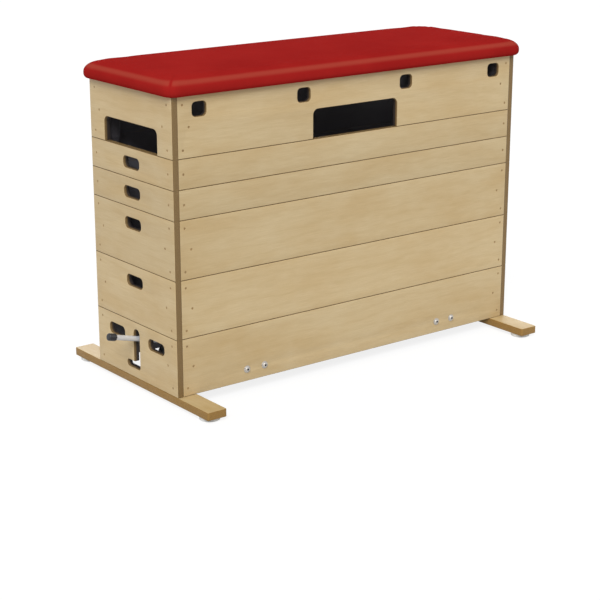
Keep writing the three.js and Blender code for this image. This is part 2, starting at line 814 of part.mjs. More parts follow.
// Side plate of a fork in X and Z, from a straight top to a round eye at the axle.
function forkPlate(topX0, topX1, topZ, axleX, axleZ) {
  const outline = new THREE.Shape();
  outline.moveTo(topX0, topZ);
  outline.absarc(axleX, axleZ, forkEyeRadius, 2 * quarterTurn, 4 * quarterTurn);
  outline.lineTo(topX1, topZ);
  return outline;
}

const forkInner = wheelThickness / 2 + forkSideGap;
const forkOuter = forkInner + forkPlateThickness;

function axle(x, z) {
  const end = forkOuter + axleHeadThickness;
  return [
    rodAlongY(axleRadius, -end, end, x, z, smallRoundSides),
    rodAlongY(axleHeadRadius, -end, fitGap - forkOuter, x, z, smallRoundSides),
    rodAlongY(axleHeadRadius, forkOuter - fitGap, end, x, z, smallRoundSides),
  ];
}

const leverFrame = new THREE.Group();
leverFrame.position.set(-pivotPlace, 0, pivotHeight);
leverFrame.rotation.y = liftAngle;
model.add(leverFrame);

const farFrame = new THREE.Group();
farFrame.position.set(pivotPlace, 0, pivotHeight);
farFrame.rotation.y = -liftAngle;
model.add(farFrame);

// Lever frame: the socket tube lies on the hub and the cross bar, and drops a little outwards. The lever
// bar ends short of the hub.
const leverStart = hubRadius + leverRadius / 2;
function leverFrameGeometry() {
  const socket = rodAlongX(socketRadius, -socketReach, socketBack, 0, leverOffset);
  const boreRadius = leverRadius + fitGap;
  const socketBore = rodAlongX(boreRadius, -socketReach - overrun, -leverStart, 0, leverOffset);
  const removed = [socketBore.rotateY(-leverDrop)];
  const [hookX, hookZ] = lowered(...springArmPlace);
  const hookRadius = springWireRadius + runningGap;
  const stemRadius = castorStemRadius + runningGap;
  for (const side of [-1, 1]) {
    const y = side * wheelSpacing / 2;
    const hookStart = side * (armInnerFace - overrun);
    const hookEnd = side * (armOuterFace + overrun);
    removed.push(rodAlongZ(stemRadius, -crossBarThickness - overrun, overrun, -wheelReach, y));
    removed.push(rodAlongY(hookRadius, hookStart, hookEnd, hookX, hookZ, smallRoundSides));
  }
  return liftFrame(-1, { added: [socket.rotateY(-leverDrop), ...crank(...leverPin)], removed });
}
addMesh(leverFrame, 'lever_lift_frame', leverFrameGeometry(), paintedSteel);

// Far frame: its fork plates are welded under the cross bar, so its wheels run straight.
function farFrameGeometry() {
  const added = [...crank(...farPin)];
  for (const side of [-1, 1]) {
    const y = side * wheelSpacing / 2;
    const barInner = wheelReach - crossBarWidth / 2;
    const barOuter = wheelReach + crossBarWidth / 2;
    const plateTop = fitGap - crossBarThickness;
    const outline = forkPlate(barInner, barOuter, plateTop, wheelReach, -axleDrop);
    for (const face of [-1, 1]) {
      added.push(prismAlongY(outline, y + face * forkInner, y + face * forkOuter));
    }
    added.push(...axle(wheelReach, -axleDrop).map((solid) => solid.translate(0, y, 0)));
  }
  return liftFrame(1, { added, removed: [] });
}
addMesh(farFrame, 'far_lift_frame', farFrameGeometry(), paintedSteel);

// Lever bar in the socket, with the grip on its end.
const leverGroup = new THREE.Group();
leverGroup.rotation.y = -leverDrop;
leverFrame.add(leverGroup);
const gripStart = leverReach - gripLength;
const leverEnd = leverReach - gripCover;
const leverBar = rodAlongX(leverRadius, -leverEnd, -leverStart - fitGap, 0, leverOffset);
addMesh(leverGroup, 'lever_bar', leverBar, zincSteel);
const grip = turned([
  [0, leverEnd + fitGap],
  [leverRadius + fitGap, leverEnd + fitGap],
  [leverRadius + fitGap, gripStart],
  [gripRadius - gripEdge / 2, gripStart],
  [gripRadius, gripStart + gripEdge],
  [gripRadius, leverReach - gripEdge],
  [gripRadius - gripEdge / 2, leverReach - gripEdge / 4],
  [gripRadius - gripEdge, leverReach],
  [0, leverReach],
]).rotateZ(quarterTurn);
addMesh(leverGroup, 'lever_grip', grip.translate(0, 0, leverOffset), blackPlastic);

// Wheels turn about Y on their axles.
function wheel() {
  const half = wheelThickness / 2;
  const hubHalf = forkInner - sideGap;
  const web = wheelWebThickness / 2;
  return turned([
    [axleRadius + runningGap, -hubHalf],
    [wheelHubRadius, -hubHalf],
    [wheelHubRadius, -web],
    [wheelRimRadius, -web],
    [wheelRimRadius, -half],
    [wheelRadius - wheelEdge, -half],
    [wheelRadius, wheelEdge - half],
    [wheelRadius, half - wheelEdge],
    [wheelRadius - wheelEdge, half],
    [wheelRimRadius, half],
    [wheelRimRadius, web],
    [wheelHubRadius, web],
    [wheelHubRadius, hubHalf],
    [axleRadius + runningGap, hubHalf],
    [axleRadius + runningGap, -hubHalf],
  ], wheelSides);
}

// Castor fork, from the underside of the cross bar: race, bridge, side plates, axle, and a stem with its
// nut above the bar.
function castorFork() {
  const raceTop = -fitGap;
  const bridgeTop = raceTop - castorRaceThickness;
  const bridgeBottom = bridgeTop - forkPlateThickness;
  const top0 = castorTrail / 2 - forkTopLength / 2;
  const top1 = castorTrail / 2 + forkTopLength / 2;
  const axleZ = crossBarThickness - axleDrop;
  const nutBottom = crossBarThickness + fitGap;
  const outline = forkPlate(top0, top1, bridgeTop, castorTrail, axleZ);
  const nut = rodAlongZ(castorNutRadius, nutBottom, nutBottom + castorNutHeight, 0, 0, 6);
  return join([
    rodAlongZ(castorRaceRadius, bridgeTop - fitGap, raceTop, 0, 0),
    block(top0, top1, -forkOuter, forkOuter, bridgeBottom, bridgeTop),
    prismAlongY(outline, -forkOuter, -forkInner),
    prismAlongY(outline, forkInner, forkOuter),
    rodAlongZ(castorStemRadius, bridgeTop, nutBottom + castorNutHeight + fitGap, 0, 0, smallRoundSides),
    nut,
    ...axle(castorTrail, axleZ),
  ]);
}

for (const [side, sideLabel] of [[-1, 'front'], [1, 'rear']]) {
  const castor = new THREE.Group();
  castor.position.set(-wheelReach, side * wheelSpacing / 2, -crossBarThickness);
  leverFrame.add(castor);
  addMesh(castor, sideLabel + '_castor_fork', castorFork(), zincSteel);
  const leverWheel = addMesh(castor, 'lever_' + sideLabel + '_wheel', wheel(), greyRubber);
  leverWheel.position.set(castorTrail, 0, crossBarThickness - axleDrop);
  const farWheel = addMesh(farFrame, 'far_' + sideLabel + '_wheel', wheel(), greyRubber);
  farWheel.position.set(wheelReach, side * wheelSpacing / 2, -axleDrop);
}

// Tie rod: straight, from the lever frame's raised pin down to the far frame's.
function tieRod() {
  const [startX, startZ] = raised(...leverPin);
  const endX = 2 * pivotPlace + startX;
  const endZ = -startZ;
  const length = Math.hypot(endX - startX, endZ - startZ);
  const inner = crankOffset + crankThickness / 2 + sideGap;
  const outer = inner + tieEyeThickness;
  const rodStart = Math.max(crankEyeRadius, tieEyeRadius) + 2 * sideGap;
  const rodY = (inner + outer) / 2;
  const rod = rodAlongX(tieRodRadius, rodStart, length - rodStart, rodY, 0, smallRoundSides);
  const eyes = [0, length].map((place) => rodAlongY(tieEyeRadius, inner, outer, place, 0));
  const collars = [0, length].map((place) => {
    const reach = place ? -2 * tieEyeRadius : 2 * tieEyeRadius;
    return block(place, place + reach, inner, outer, -tieRodRadius, tieRodRadius);
  });
  const bores = [
    rodAlongY(crankPinRadius + runningGap, inner - overrun, outer + overrun, 0, 0),
    rodAlongY(crankPinRadius + tieEyeSlack, inner - overrun, outer + overrun, length, 0),
  ];
  const geometry = cut(join([rod, ...eyes, ...collars]), bores);
  geometry.rotateY(-Math.atan2(endZ - startZ, endX - startX));
  return geometry.translate(startX - pivotPlace, 0, startZ + pivotHeight);
}
addMesh(model, 'tie_rod', tieRod(), zincSteel);

// The whole part stands on the floor with the middle of its extent over the origin.
const extent = new THREE.Box3().setFromObject(model, true);
const middle = extent.getCenter(new THREE.Vector3());
model.position.set(-middle.x, -middle.y, -extent.min.z);

const vaultingBox = new THREE.Group();
vaultingBox.add(model);

export default vaultingBox;
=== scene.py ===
# A vaulting box: six plywood sections and a padded top on two sledge boards, with a hand lever that
# lowers four wheels. Metres, Z up, with X along the box from the lever end and Y from front to rear.
import math

import bpy
import numpy as np
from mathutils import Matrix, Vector
from mathutils.geometry import tessellate_polygon


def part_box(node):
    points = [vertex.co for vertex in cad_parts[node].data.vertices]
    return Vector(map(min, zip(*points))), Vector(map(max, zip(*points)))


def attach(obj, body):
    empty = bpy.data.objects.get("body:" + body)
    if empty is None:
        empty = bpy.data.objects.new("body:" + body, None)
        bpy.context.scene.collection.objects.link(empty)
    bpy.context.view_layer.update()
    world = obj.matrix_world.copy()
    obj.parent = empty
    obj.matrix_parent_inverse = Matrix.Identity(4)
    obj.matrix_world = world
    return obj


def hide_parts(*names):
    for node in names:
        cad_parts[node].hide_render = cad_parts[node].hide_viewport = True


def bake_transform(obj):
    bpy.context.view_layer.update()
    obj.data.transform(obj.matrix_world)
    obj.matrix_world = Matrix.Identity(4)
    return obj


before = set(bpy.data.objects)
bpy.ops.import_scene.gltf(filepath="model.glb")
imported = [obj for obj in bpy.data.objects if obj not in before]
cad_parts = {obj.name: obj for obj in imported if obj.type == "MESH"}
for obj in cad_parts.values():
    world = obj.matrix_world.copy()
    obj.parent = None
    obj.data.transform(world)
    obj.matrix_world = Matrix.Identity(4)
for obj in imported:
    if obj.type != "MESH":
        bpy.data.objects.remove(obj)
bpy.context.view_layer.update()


# Camera, floor and light
# The box stands on a plain white floor under an even studio light, with a soft lamp in front and a
# weaker one behind, and is seen from its front left corner, a little from above.
camera_data = bpy.data.cameras.new("camera")
camera_data.lens = 96
camera_data.clip_end = 200
camera = bpy.data.objects.new("camera", camera_data)
camera.location = (-3.4225, -4.414, 1.898)
look_down, look_right = 17.02, 37.75
camera.rotation_euler = (math.radians(90 - look_down), 0, math.radians(-look_right))
bpy.context.scene.collection.objects.link(camera)
bpy.context.scene.camera = camera
bpy.context.scene.view_settings.view_transform = "Standard"


def shade_node(tree, kind, *inputs, **settings):
    """A new shader node and its first output. A socket among the inputs is linked, a value is set on
    the node, and None leaves the input as it is."""
    made = tree.nodes.new(kind)
    for key, value in settings.items():
        setattr(made, key, value)
    for place, value in enumerate(inputs):
        if isinstance(value, bpy.types.NodeSocket):
            tree.links.new(value, made.inputs[place])
        elif value is not None:
            made.inputs[place].default_value = value
    return made.outputs[0]


def math_node(tree, operation, *inputs):
    """One step of arithmetic in a shader."""
    return shade_node(tree, "ShaderNodeMath", *inputs, operation=operation)


def colour(red, green, blue):
    """A colour given as a picture shows it, from 0 to 255, as the linear light that a shader takes."""
    shown = np.array([red, green, blue]) / 255
    linear = np.where(shown <= 0.04045, shown / 12.92, ((shown + 0.055) / 1.055) ** 2.4)
    return (*linear, 1)


def seen_directly(tree):
    """1 for a camera, mirror or glass ray, and 0 for the rays that light the box."""
    rays = tree.nodes.new("ShaderNodeLightPath").outputs
    shown = math_node(tree, "ADD", rays["Is Camera Ray"], rays["Is Glossy Ray"])
    shown = math_node(tree, "ADD", shown, rays["Is Transmission Ray"])
    return math_node(tree, "MINIMUM", shown, 1.0)


def new_material(name):
    """A material of that name, with its node tree and its shader."""
    made = bpy.data.materials.new(name)
    made.use_nodes = True
    return made, made.node_tree, made.node_tree.nodes["Principled BSDF"]


world = bpy.data.worlds.new("studio")
world.use_nodes = True
bpy.context.scene.world = world
world_tree = world.node_tree
ambient_level = 0.42
strength = math_node(world_tree, "MULTIPLY_ADD", seen_directly(world_tree), 1 - ambient_level,
                     ambient_level)
backdrop = world_tree.nodes["Background"]
backdrop.inputs["Color"].default_value = (1, 1, 1, 1)
world_tree.links.new(strength, backdrop.inputs["Strength"])

floor_half, floor_drop = 60, 0.0002
floor_mesh = bpy.data.meshes.new("floor")
floor_corners = [(x * floor_half, y * floor_half, -floor_drop)
                 for x, y in ((-1, -1), (1, -1), (1, 1), (-1, 1))]
floor_mesh.from_pydata(floor_corners, [], [(0, 1, 2, 3)])
floor = bpy.data.objects.new("floor", floor_mesh)
bpy.context.scene.collection.objects.link(floor)
floor_grey, glow_strength, glow_part = 0.6, 1.2, 0.7
floor_material, tree, matt = new_material("floor")
floor_mesh.materials.append(floor_material)
matt.inputs["Base Color"].default_value = (floor_grey, floor_grey, floor_grey, 1)
matt.inputs["Roughness"].default_value = 1
matt.inputs["Specular IOR Level"].default_value = 0
glow = shade_node(tree, "ShaderNodeEmission", (1, 1, 1, 1), glow_strength)
glow_share = math_node(tree, "MULTIPLY", seen_directly(tree), glow_part)
from_above = shade_node(tree, "ShaderNodeMixShader", glow_share, matt.outputs[0], glow)
from_below = shade_node(tree, "ShaderNodeNewGeometry").node.outputs["Backfacing"]
one_sided = shade_node(tree, "ShaderNodeMixShader", from_below, from_above,
                       shade_node(tree, "ShaderNodeBsdfTransparent"))
tree.links.new(one_sided, tree.nodes["Material Output"].inputs["Surface"])


def soft_sun(name, towards, strength, spread):
    """A far lamp that stands in the direction towards and looks as wide as its spread in degrees."""
    lamp = bpy.data.lights.new(name, "SUN")
    lamp.energy = strength
    lamp.angle = math.radians(spread)
    placed = bpy.data.objects.new(name, lamp)
    placed.rotation_euler = Vector(towards).to_track_quat("Z", "Y").to_euler()
    bpy.context.scene.collection.objects.link(placed)


soft_sun("front_lamp", (-0.52, -0.57, 0.71), 2.5, 30)
soft_sun("rear_lamp", (0.60, 0.66, 0.30), 1.3, 60)


# Plywood panels
# Each section is a frame of four boards of 21 mm birch plywood, glued of fifteen veneers and varnished.
# The dark colour of the inner faces, and of the hole and notch walls further in, is painted shade. The
# holes are routed and all outer edges eased by hand.
ALONG, ACROSS, UP = np.eye(3)
box_low, box_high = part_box("base_front_panel")[0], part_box("top_rear_panel")[1]
end_low, end_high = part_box("base_lever_end_panel")[0].x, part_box("base_far_end_panel")[1].x
middle = np.array([(end_low + end_high) / 2, 0, 0])
ply, veneer = 0.021, 0.0015
edge_ease, butt_ease, hole_ease, inner_ease = 0.0025, 0.0003, 0.003, 0.0005
arc_steps, ease_steps, crease_angle = 10, 4, math.radians(32)
screw_head, screw_sink, screw_depth, screw_sides = 0.0037, 0.0045, 0.004, 12
screw_places = {}


def arc(centre, radius, start, end, steps=arc_steps):
    """Points on a circle from one angle to the other, in degrees, both ends among them."""
    angles = np.radians(np.linspace(start, end, steps + 1))
    return np.column_stack([centre[0] + radius * np.cos(angles), centre[1] + radius * np.sin(angles)])


def rounded_loop(centre, width, height, radius, steps=arc_steps):
    """A rectangle with round corners, from its right side anticlockwise."""
    x, y = width / 2 - radius, height / 2 - radius
    corners = [(x, y, 0), (-x, y, 90), (-x, -y, 180), (x, -y, 270)]
    return np.vstack([arc((centre[0] + u, centre[1] + v), radius, turn, turn + 90, steps)
                      for u, v, turn in corners])


def left_of(loop, ease):
    """Each point of a closed loop moved to the left of its way: by the ease of its two edges along
    their mitre, with the ease across and up given apart. A sharp corner's mitre is kept short."""
    along = np.roll(loop, -1, 0) - loop
    along /= np.maximum(np.linalg.norm(along, axis=1, keepdims=True), 1e-9)
    before = np.roll(along, 1, 0)
    left = np.column_stack([-along[:, 1], along[:, 0]])
    left_before = np.column_stack([-before[:, 1], before[:, 0]])
    mitre = left + left_before
    mitre /= np.maximum((left * mitre).sum(1, keepdims=True), 0.3)
    return loop + mitre * ease


def without_repeats(loop):
    """A closed loop without the points that lie on the one before."""
    return loop[np.linalg.norm(loop - np.roll(loop, 1, 0), axis=1) > 1e-7]


def edge_rings(loop, thickness, front_ease, back_ease):
    """The loop carried through a board as rings of (across, up, depth): a quarter of an ellipse at the
    front, a straight wall, and a quarter at the back. An ease is a pair of widths at each point."""
    turns = np.radians(np.linspace(0, 90, ease_steps + 1))
    rings = []
    for ease, turned in ((front_ease, turns), (back_ease, turns[::-1])):
        reach = np.max(ease)
        for turn in turned:
            inset = left_of(loop, ease * (1 - np.sin(turn)))
            depth = reach * (1 - np.cos(turn))
            depth = depth if ease is front_ease else thickness - depth
            rings.append(np.column_stack([inset, np.full(len(loop), depth)]))
    return rings


def ring_quads(first, rings, count):
    """The quads between neighbouring rings of count points, numbered from first."""
    ring, step = np.meshgrid(np.arange(rings - 1), np.arange(count), indexing="ij")
    after = (step + 1) % count
    start = first + ring * count
    quads = np.stack([start + step, start + count + step, start + count + after, start + after], -1)
    return quads.reshape(-1, 4)


def filled(loops, numbers, forwards):
    """Triangles that fill the first loop around the others, which are its holes."""
    triangles = np.array(tessellate_polygon([[(*point, 0) for point in loop] for loop in loops]))
    points = np.vstack(loops)[triangles]
    side_a, side_b = points[:, 1] - points[:, 0], points[:, 2] - points[:, 0]
    anticlockwise = (side_a[:, 0] * side_b[:, 1] - side_a[:, 1] * side_b[:, 0]).sum() > 0
    triangles = triangles if anticlockwise == forwards else triangles[:, ::-1]
    return np.concatenate(numbers)[triangles]


def make_piece(name, points, faces, body, material):
    """A mesh piece from its points and faces, riding on a body of the model if one is given."""
    mesh = bpy.data.meshes.new(name)
    mesh.from_pydata(points.tolist(), [], [list(map(int, face)) for face in faces])
    mesh.polygons.foreach_set("use_smooth", np.full(len(mesh.polygons), True))
    mesh.update()
    mesh.set_sharp_from_angle(angle=crease_angle)
    mesh.materials.append(material)
    piece = bpy.data.objects.new(name, mesh)
    bpy.context.scene.collection.objects.link(piece)
    if body:
        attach(piece, body)
    return piece


def keep_on_points(piece, name, values):
    """Keeps a number or a vector for each point of a piece, which its material reads."""
    kind, field = ("FLOAT_VECTOR", "vector") if values.ndim == 2 else ("FLOAT", "value")
    kept = piece.data.attributes.new(name, kind, "POINT")
    kept.data.foreach_set(field, values.astype(np.float32).ravel())


def board(name, loop, holes, thickness, place, ease, body, material, tone, screws=()):
    """A flat board: its outline, its holes and its blind screw holes with rounded edges, set in space.
    Place holds the corner point and the directions across, up and inwards from the outer face. Tone is
    a number of the board's own, which sets its shade and the part of the veneer that it shows."""
    outline = without_repeats(loop)
    turns = [(outline, ease, np.full((1, 2), inner_ease))]
    turns += [(without_repeats(hole)[::-1], np.full((1, 2), hole_ease), np.full((1, 2), hole_ease))
              for hole in holes]
    well_inside = 0.9 * np.abs(outline).max(0)
    in_notch = (np.abs(outline) < well_inside).all(1)
    flat, faces, fronts, backs, painted_shade_wall = [], [], [], [], []
    total = 0
    for points, front_ease, back_ease in turns:
        rings = edge_rings(points, thickness, front_ease, back_ease)
        faces.extend(ring_quads(total, len(rings), len(points)))
        last = total + (len(rings) - 1) * len(points)
        fronts.append((rings[0][:, :2], np.arange(total, total + len(points))))
        backs.append((rings[-1][:, :2], np.arange(last, last + len(points))))
        flat.extend(rings)
        painted_shade_wall.append(np.tile(in_notch if points is outline else np.ones(len(points)), len(rings)))
        total += len(rings) * len(points)
    for centre in screws:
        rim = rounded_loop(centre, 2 * screw_sink, 2 * screw_sink, screw_sink, screw_sides // 4)
        rim = without_repeats(rim)[::-1]
        wall = centre + (rim - centre) * screw_head / screw_sink
        rings = [np.column_stack([ring, np.full(len(rim), depth)])
                 for ring, depth in ((rim, 0), (wall, screw_sink - screw_head), (wall, screw_depth))]
        faces.extend(ring_quads(total, 3, len(rim)))
        faces.append(np.arange(total + 2 * len(rim), total + 3 * len(rim))[::-1])
        fronts.append((rim, np.arange(total, total + len(rim))))
        flat.extend(rings)
        painted_shade_wall.append(np.zeros(3 * len(rim)))
        total += 3 * len(rim)
    faces.extend(filled(*zip(*fronts), True))
    faces.extend(filled(*zip(*backs), False))
    flat = np.vstack(flat)
    corner, across, up, inwards = place
    points = corner + flat @ np.array([across, up, inwards])
    for u, v in screws:
        centre = corner + u * across + v * up
        screw_places.setdefault(body, []).append(np.array([centre, across, up, inwards]))
    piece = make_piece(name, points, faces, body, material)
    keep_on_points(piece, "grain", flat + np.array([tone * 7.31, tone * 3.17, 0]))
    keep_on_points(piece, "tone", np.full(len(flat), math.sin(tone * 12.9)))
    keep_on_points(piece, "painted_shade_wall", np.concatenate(painted_shade_wall))
    return piece


def ranged(tree, value, low, high, to_low=0.0, to_high=1.0, **settings):
    """A value carried from one range to another, and kept inside it."""
    return shade_node(tree, "ShaderNodeMapRange", value, low, high, to_low, to_high, **settings)


def mixed(tree, share, first, second):
    """The first colour with a share of the second."""
    return shade_node(tree, "ShaderNodeMixRGB", share, first, second)


def stored(tree, name, output="Fac"):
    """What keep_on_points has kept on the piece under that name, or 0."""
    return shade_node(tree, "ShaderNodeAttribute", attribute_name=name).node.outputs[output]


def dress(tree, shader, base, rough, relief, strength, depth):
    """Gives a shader its colour, its roughness and a relief of that strength and depth."""
    bump = shade_node(tree, "ShaderNodeBump", strength, depth, None, relief)
    for name, value in (("Base Color", base), ("Roughness", rough), ("Normal", bump)):
        tree.links.new(value, shader.inputs[name])


def veneer_material(name, thickness, pale, warm, dark_layer, pale_layer, end_grain, inner, gloss=0.42):
    """Birch plywood. The face is a pale veneer with broad soft figure, drawn-out fibres and fine pores,
    and a cut edge shows the layers, which are told apart by their depth in the board."""
    made, tree, shader = new_material(name)
    grain = stored(tree, "grain", "Vector")

    def noise(stretch, detail, distortion=0.0):
        spread = shade_node(tree, "ShaderNodeMapping", grain, None, None, stretch)
        return shade_node(tree, "ShaderNodeTexNoise", spread, None, 1.0, detail, 0.55, None, None,
                          distortion)

    broad = noise((1.7, 7, 1), 3, 0.8)
    clouds = noise((6, 11, 1), 4)
    spread = shade_node(tree, "ShaderNodeMapping", grain, None, None, (0.35, 1.0, 1.0))
    figure = shade_node(tree, "ShaderNodeTexWave", spread, 9.0, 9.0, 3.0, 0.9, 0.6,
                        bands_direction="Y")
    fibres = noise((14, 620, 40), 3)
    pores = noise((70, 1500, 60), 2)
    face = mixed(tree, ranged(tree, broad, 0.36, 0.64), pale, warm)
    for mark, low, high, from_share, to_share, tint in (
            (figure, 0.55, 1.0, 0, 0.15, (178, 150, 104)),
            (clouds, 0.42, 0.70, 0, 0.5, (209, 190, 152)),
            (fibres, 0.35, 0.65, 0.28, 0, (170, 144, 100)),
            (pores, 0.62, 0.72, 0, 0.22, (150, 122, 80))):
        face = mixed(tree, ranged(tree, mark, low, high, from_share, to_share), face, colour(*tint))
    bright = ranged(tree, stored(tree, "tone"), -1.0, 1.0, 0.955, 1.03)
    face = shade_node(tree, "ShaderNodeVectorMath", face, None, None, bright, operation="SCALE")

    depth = shade_node(tree, "ShaderNodeSeparateXYZ", grain).node.outputs["Z"]
    shifted = math_node(tree, "ADD", depth, veneer / 2)
    in_pair = math_node(tree, "MODULO", shifted, 2 * veneer)
    is_dark = math_node(tree, "GREATER_THAN", in_pair, veneer)
    in_face = math_node(tree, "LESS_THAN", depth, veneer / 5)
    layers = mixed(tree, is_dark, pale_layer, dark_layer)
    end_fibres = ranged(tree, noise((260, 260, 1800), 2), 0.3, 0.7, 0.0, 0.35)
    wood = mixed(tree, in_face, mixed(tree, end_fibres, layers, end_grain), face)
    # The walls of holes and notches darken from this depth inwards: painted shade. For the panel
    # plywood the inner face colour is painted shade too.
    unshaded_depth, full_shade_depth = 0.0045, 0.0120
    wall_shade = ranged(tree, depth, unshaded_depth, full_shade_depth, interpolation_type="SMOOTHSTEP")
    wall_shade = math_node(tree, "MULTIPLY", wall_shade, stored(tree, "painted_shade_wall"))
    wood = mixed(tree, wall_shade, wood, colour(58, 51, 48))
    is_inner = math_node(tree, "GREATER_THAN", depth, thickness - inner_ease / 4)
    shader.inputs["Specular IOR Level"].default_value = 0.3
    height = math_node(tree, "ADD", fibres, math_node(tree, "MULTIPLY", pores, 0.5))
    dress(tree, shader, mixed(tree, is_inner, wood, inner),
          ranged(tree, fibres, 0.3, 0.7, gloss + 0.1, gloss - 0.04), height, 0.12, 0.0006)
    return made


# The dark grey inner face colour given to the panel plywood is painted shade.
plywood = veneer_material("birch_plywood", ply, colour(204, 182, 141), colour(196, 170, 125),
                          colour(104, 80, 46), colour(152, 126, 84), colour(90, 70, 44),
                          colour(116, 114, 122))

section_names = ["base", "section_2", "section_3", "section_4", "section_5", "top"]
bodies = ["base", "section_2", "section_3", "section_4", "section_5", "top_section"]
hand_hole, hand_hole_drop, base_hole_offset = (0.096, 0.038, 0.015), 0.056, 0.123
side_notch, end_notch, notch_radius = (0.370, 0.101), (0.320, 0.084), 0.020
square_hole, square_hole_drop = (0.054, 0.047, 0.014), 0.0457
square_hole_places = (-0.646, -0.225, 0.225, 0.646)
bolt_hole, bolt_height, bracket_offset, bolt_offset = 0.011, 0.043, 0.433, 0.037
low_section, joint_gap = 0.15, 0.0003
screw_margin, long_insets, end_insets = 0.027, (0.018, 0.042), (0.031, 0.058)


def notched_loop(width, height, notch_width, notch_height):
    """A rectangle whose lower edge has a notch with round upper corners, from its lower left corner."""
    u, r = notch_width / 2 - notch_radius, notch_radius
    return np.vstack([
        [[-width / 2, 0], [-notch_width / 2, 0]],
        arc((-u, notch_height - r), r, 180, 90),
        arc((u, notch_height - r), r, 90, 0),
        [[notch_width / 2, 0], [width / 2, 0], [width / 2, height], [-width / 2, height]],
    ])


def lever_slot():
    """A channel with a round top, and a leg at its foot towards the rear for the lowered lever."""
    half, sill, leg_top, top = 0.0175, 0.033, 0.056, 0.1746
    reach, corner = 0.062, 0.008
    radius = (leg_top - sill) / 2
    slot = np.vstack([
        arc((-half + corner, sill + corner), corner, 180, 270),
        arc((reach - radius, sill + radius), radius, -90, 90),
        [[half, leg_top]],
        arc((0, top - half), half, 0, 180),
    ])
    return (slot * [-1, 1])[::-1]


def plain_loop(half, height):
    """A panel's outline without a notch, from its lower left corner."""
    return np.array([[-half, 0], [half, 0], [half, height], [-half, height]])


def screw_points(half, height, inset, middle_inset):
    """The screws at both ends of a panel: three in each post, or one where the section is low."""
    rows = [(half - inset, screw_margin), (half - middle_inset, height / 2),
            (half - inset, height - screw_margin)]
    if height < low_section:
        rows = [(half - inset, height / 2)]
    return [(end * u, v) for end in (-1, 1) for u, v in rows]


long_low, long_high = (corner.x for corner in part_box("base_front_panel"))
long_half = (long_high - long_low) / 2
end_half = (box_high.y - box_low.y) / 2
tone = 0
for section, body in zip(section_names, bodies):
    low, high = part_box(f"{section}_lever_end_panel")
    bottom, height = low.z, high.z - low.z
    for side_name, outer_y, side in (("front", box_low.y, -1), ("rear", box_high.y, 1)):
        node = f"{section}_{side_name}_panel"
        loop, holes = plain_loop(long_half, height), []
        if section == "top":
            if side < 0:
                loop = notched_loop(2 * long_half, height, *side_notch)
            holes = [rounded_loop((u, height - square_hole_drop), *square_hole)
                     for u in square_hole_places]
        elif section == "base":
            holes = [rounded_loop((end * bracket_offset + step, bolt_height), bolt_hole, bolt_hole,
                                  bolt_hole / 2, 6)
                     for end in (-1, 1) for step in (-bolt_offset, bolt_offset)]
        at_butt = np.abs(np.abs(without_repeats(loop)[:, 0]) - long_half) < 1e-6
        ease = np.column_stack([np.where(at_butt, butt_ease, edge_ease),
                                np.full(len(at_butt), edge_ease)])
        screws = screw_points(long_half, height, *long_insets)
        corner = np.array([middle[0], outer_y, bottom])
        place = (corner, -side * ALONG, UP, -side * ACROSS)
        tone += 1
        piece = board(f"{section}_{side_name}_board", loop, holes, ply, place, ease, body,
                      plywood, tone, screws)
        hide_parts(node)
    for end_name, outer_x, end in (("lever_end", end_low, -1), ("far_end", end_high, 1)):
        node = f"{section}_{end_name}_panel"
        hole_height = max(height + joint_gap - hand_hole_drop, (height + joint_gap) / 2)
        loop, holes = plain_loop(end_half, height), []
        if section == "top":
            loop = notched_loop(2 * end_half, height, *end_notch)
        elif section == "base":
            holes = [rounded_loop((u, hole_height), *hand_hole)
                     for u in (-base_hole_offset, base_hole_offset)]
            if end < 0:
                holes.append(lever_slot())
        else:
            holes = [rounded_loop((0, hole_height), *hand_hole)]
        ease = np.full((len(without_repeats(loop)), 2), edge_ease)
        screws = screw_points(end_half, height, *end_insets)
        corner = np.array([outer_x, 0, bottom])
        place = (corner, end * ACROSS, UP, -end * ALONG)
        tone += 1
        piece = board(f"{section}_{end_name}_board", loop, holes, ply, place, ease, body,
                      plywood, tone, screws)
        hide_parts(node)


# Wood screws
# Countersunk steel screws, browned, hold the panels to the corner posts. Each head lies a little under
# the face of the wood and has a cross recess.
def revolved(rings):
    """Rings of points as one skin: quads join each to the next, and the end rings are filled."""
    count = rings.shape[1]
    faces = list(ring_quads(0, len(rings), count)[:, ::-1])
    faces.append(np.arange(count)[::-1])
    faces.append(np.arange(count) + (len(rings) - 1) * count)
    return rings.reshape(-1, 3), faces


def plain_metal(name, tint, roughness, grain_scale, wear=0.25, metallic=0.0):
    """Metal whose tint and roughness vary softly, as plating or paint does after some use."""
    made, tree, shader = new_material(name)
    place = shade_node(tree, "ShaderNodeTexCoord").node.outputs["Object"]
    clouds = shade_node(tree, "ShaderNodeTexNoise", place, None, grain_scale, 4.0)
    fine = shade_node(tree, "ShaderNodeTexNoise", place, None, grain_scale * 14, 2.0)
    darker = tuple(channel * (1 - wear) for channel in tint[:3]) + (1,)
    dress(tree, shader, mixed(tree, ranged(tree, clouds, 0.35, 0.65), tint, darker),
          ranged(tree, fine, 0.3, 0.7, roughness - 0.08, roughness + 0.1), fine, 0.08, 0.0003)
    shader.inputs["Metallic"].default_value = metallic
    return made


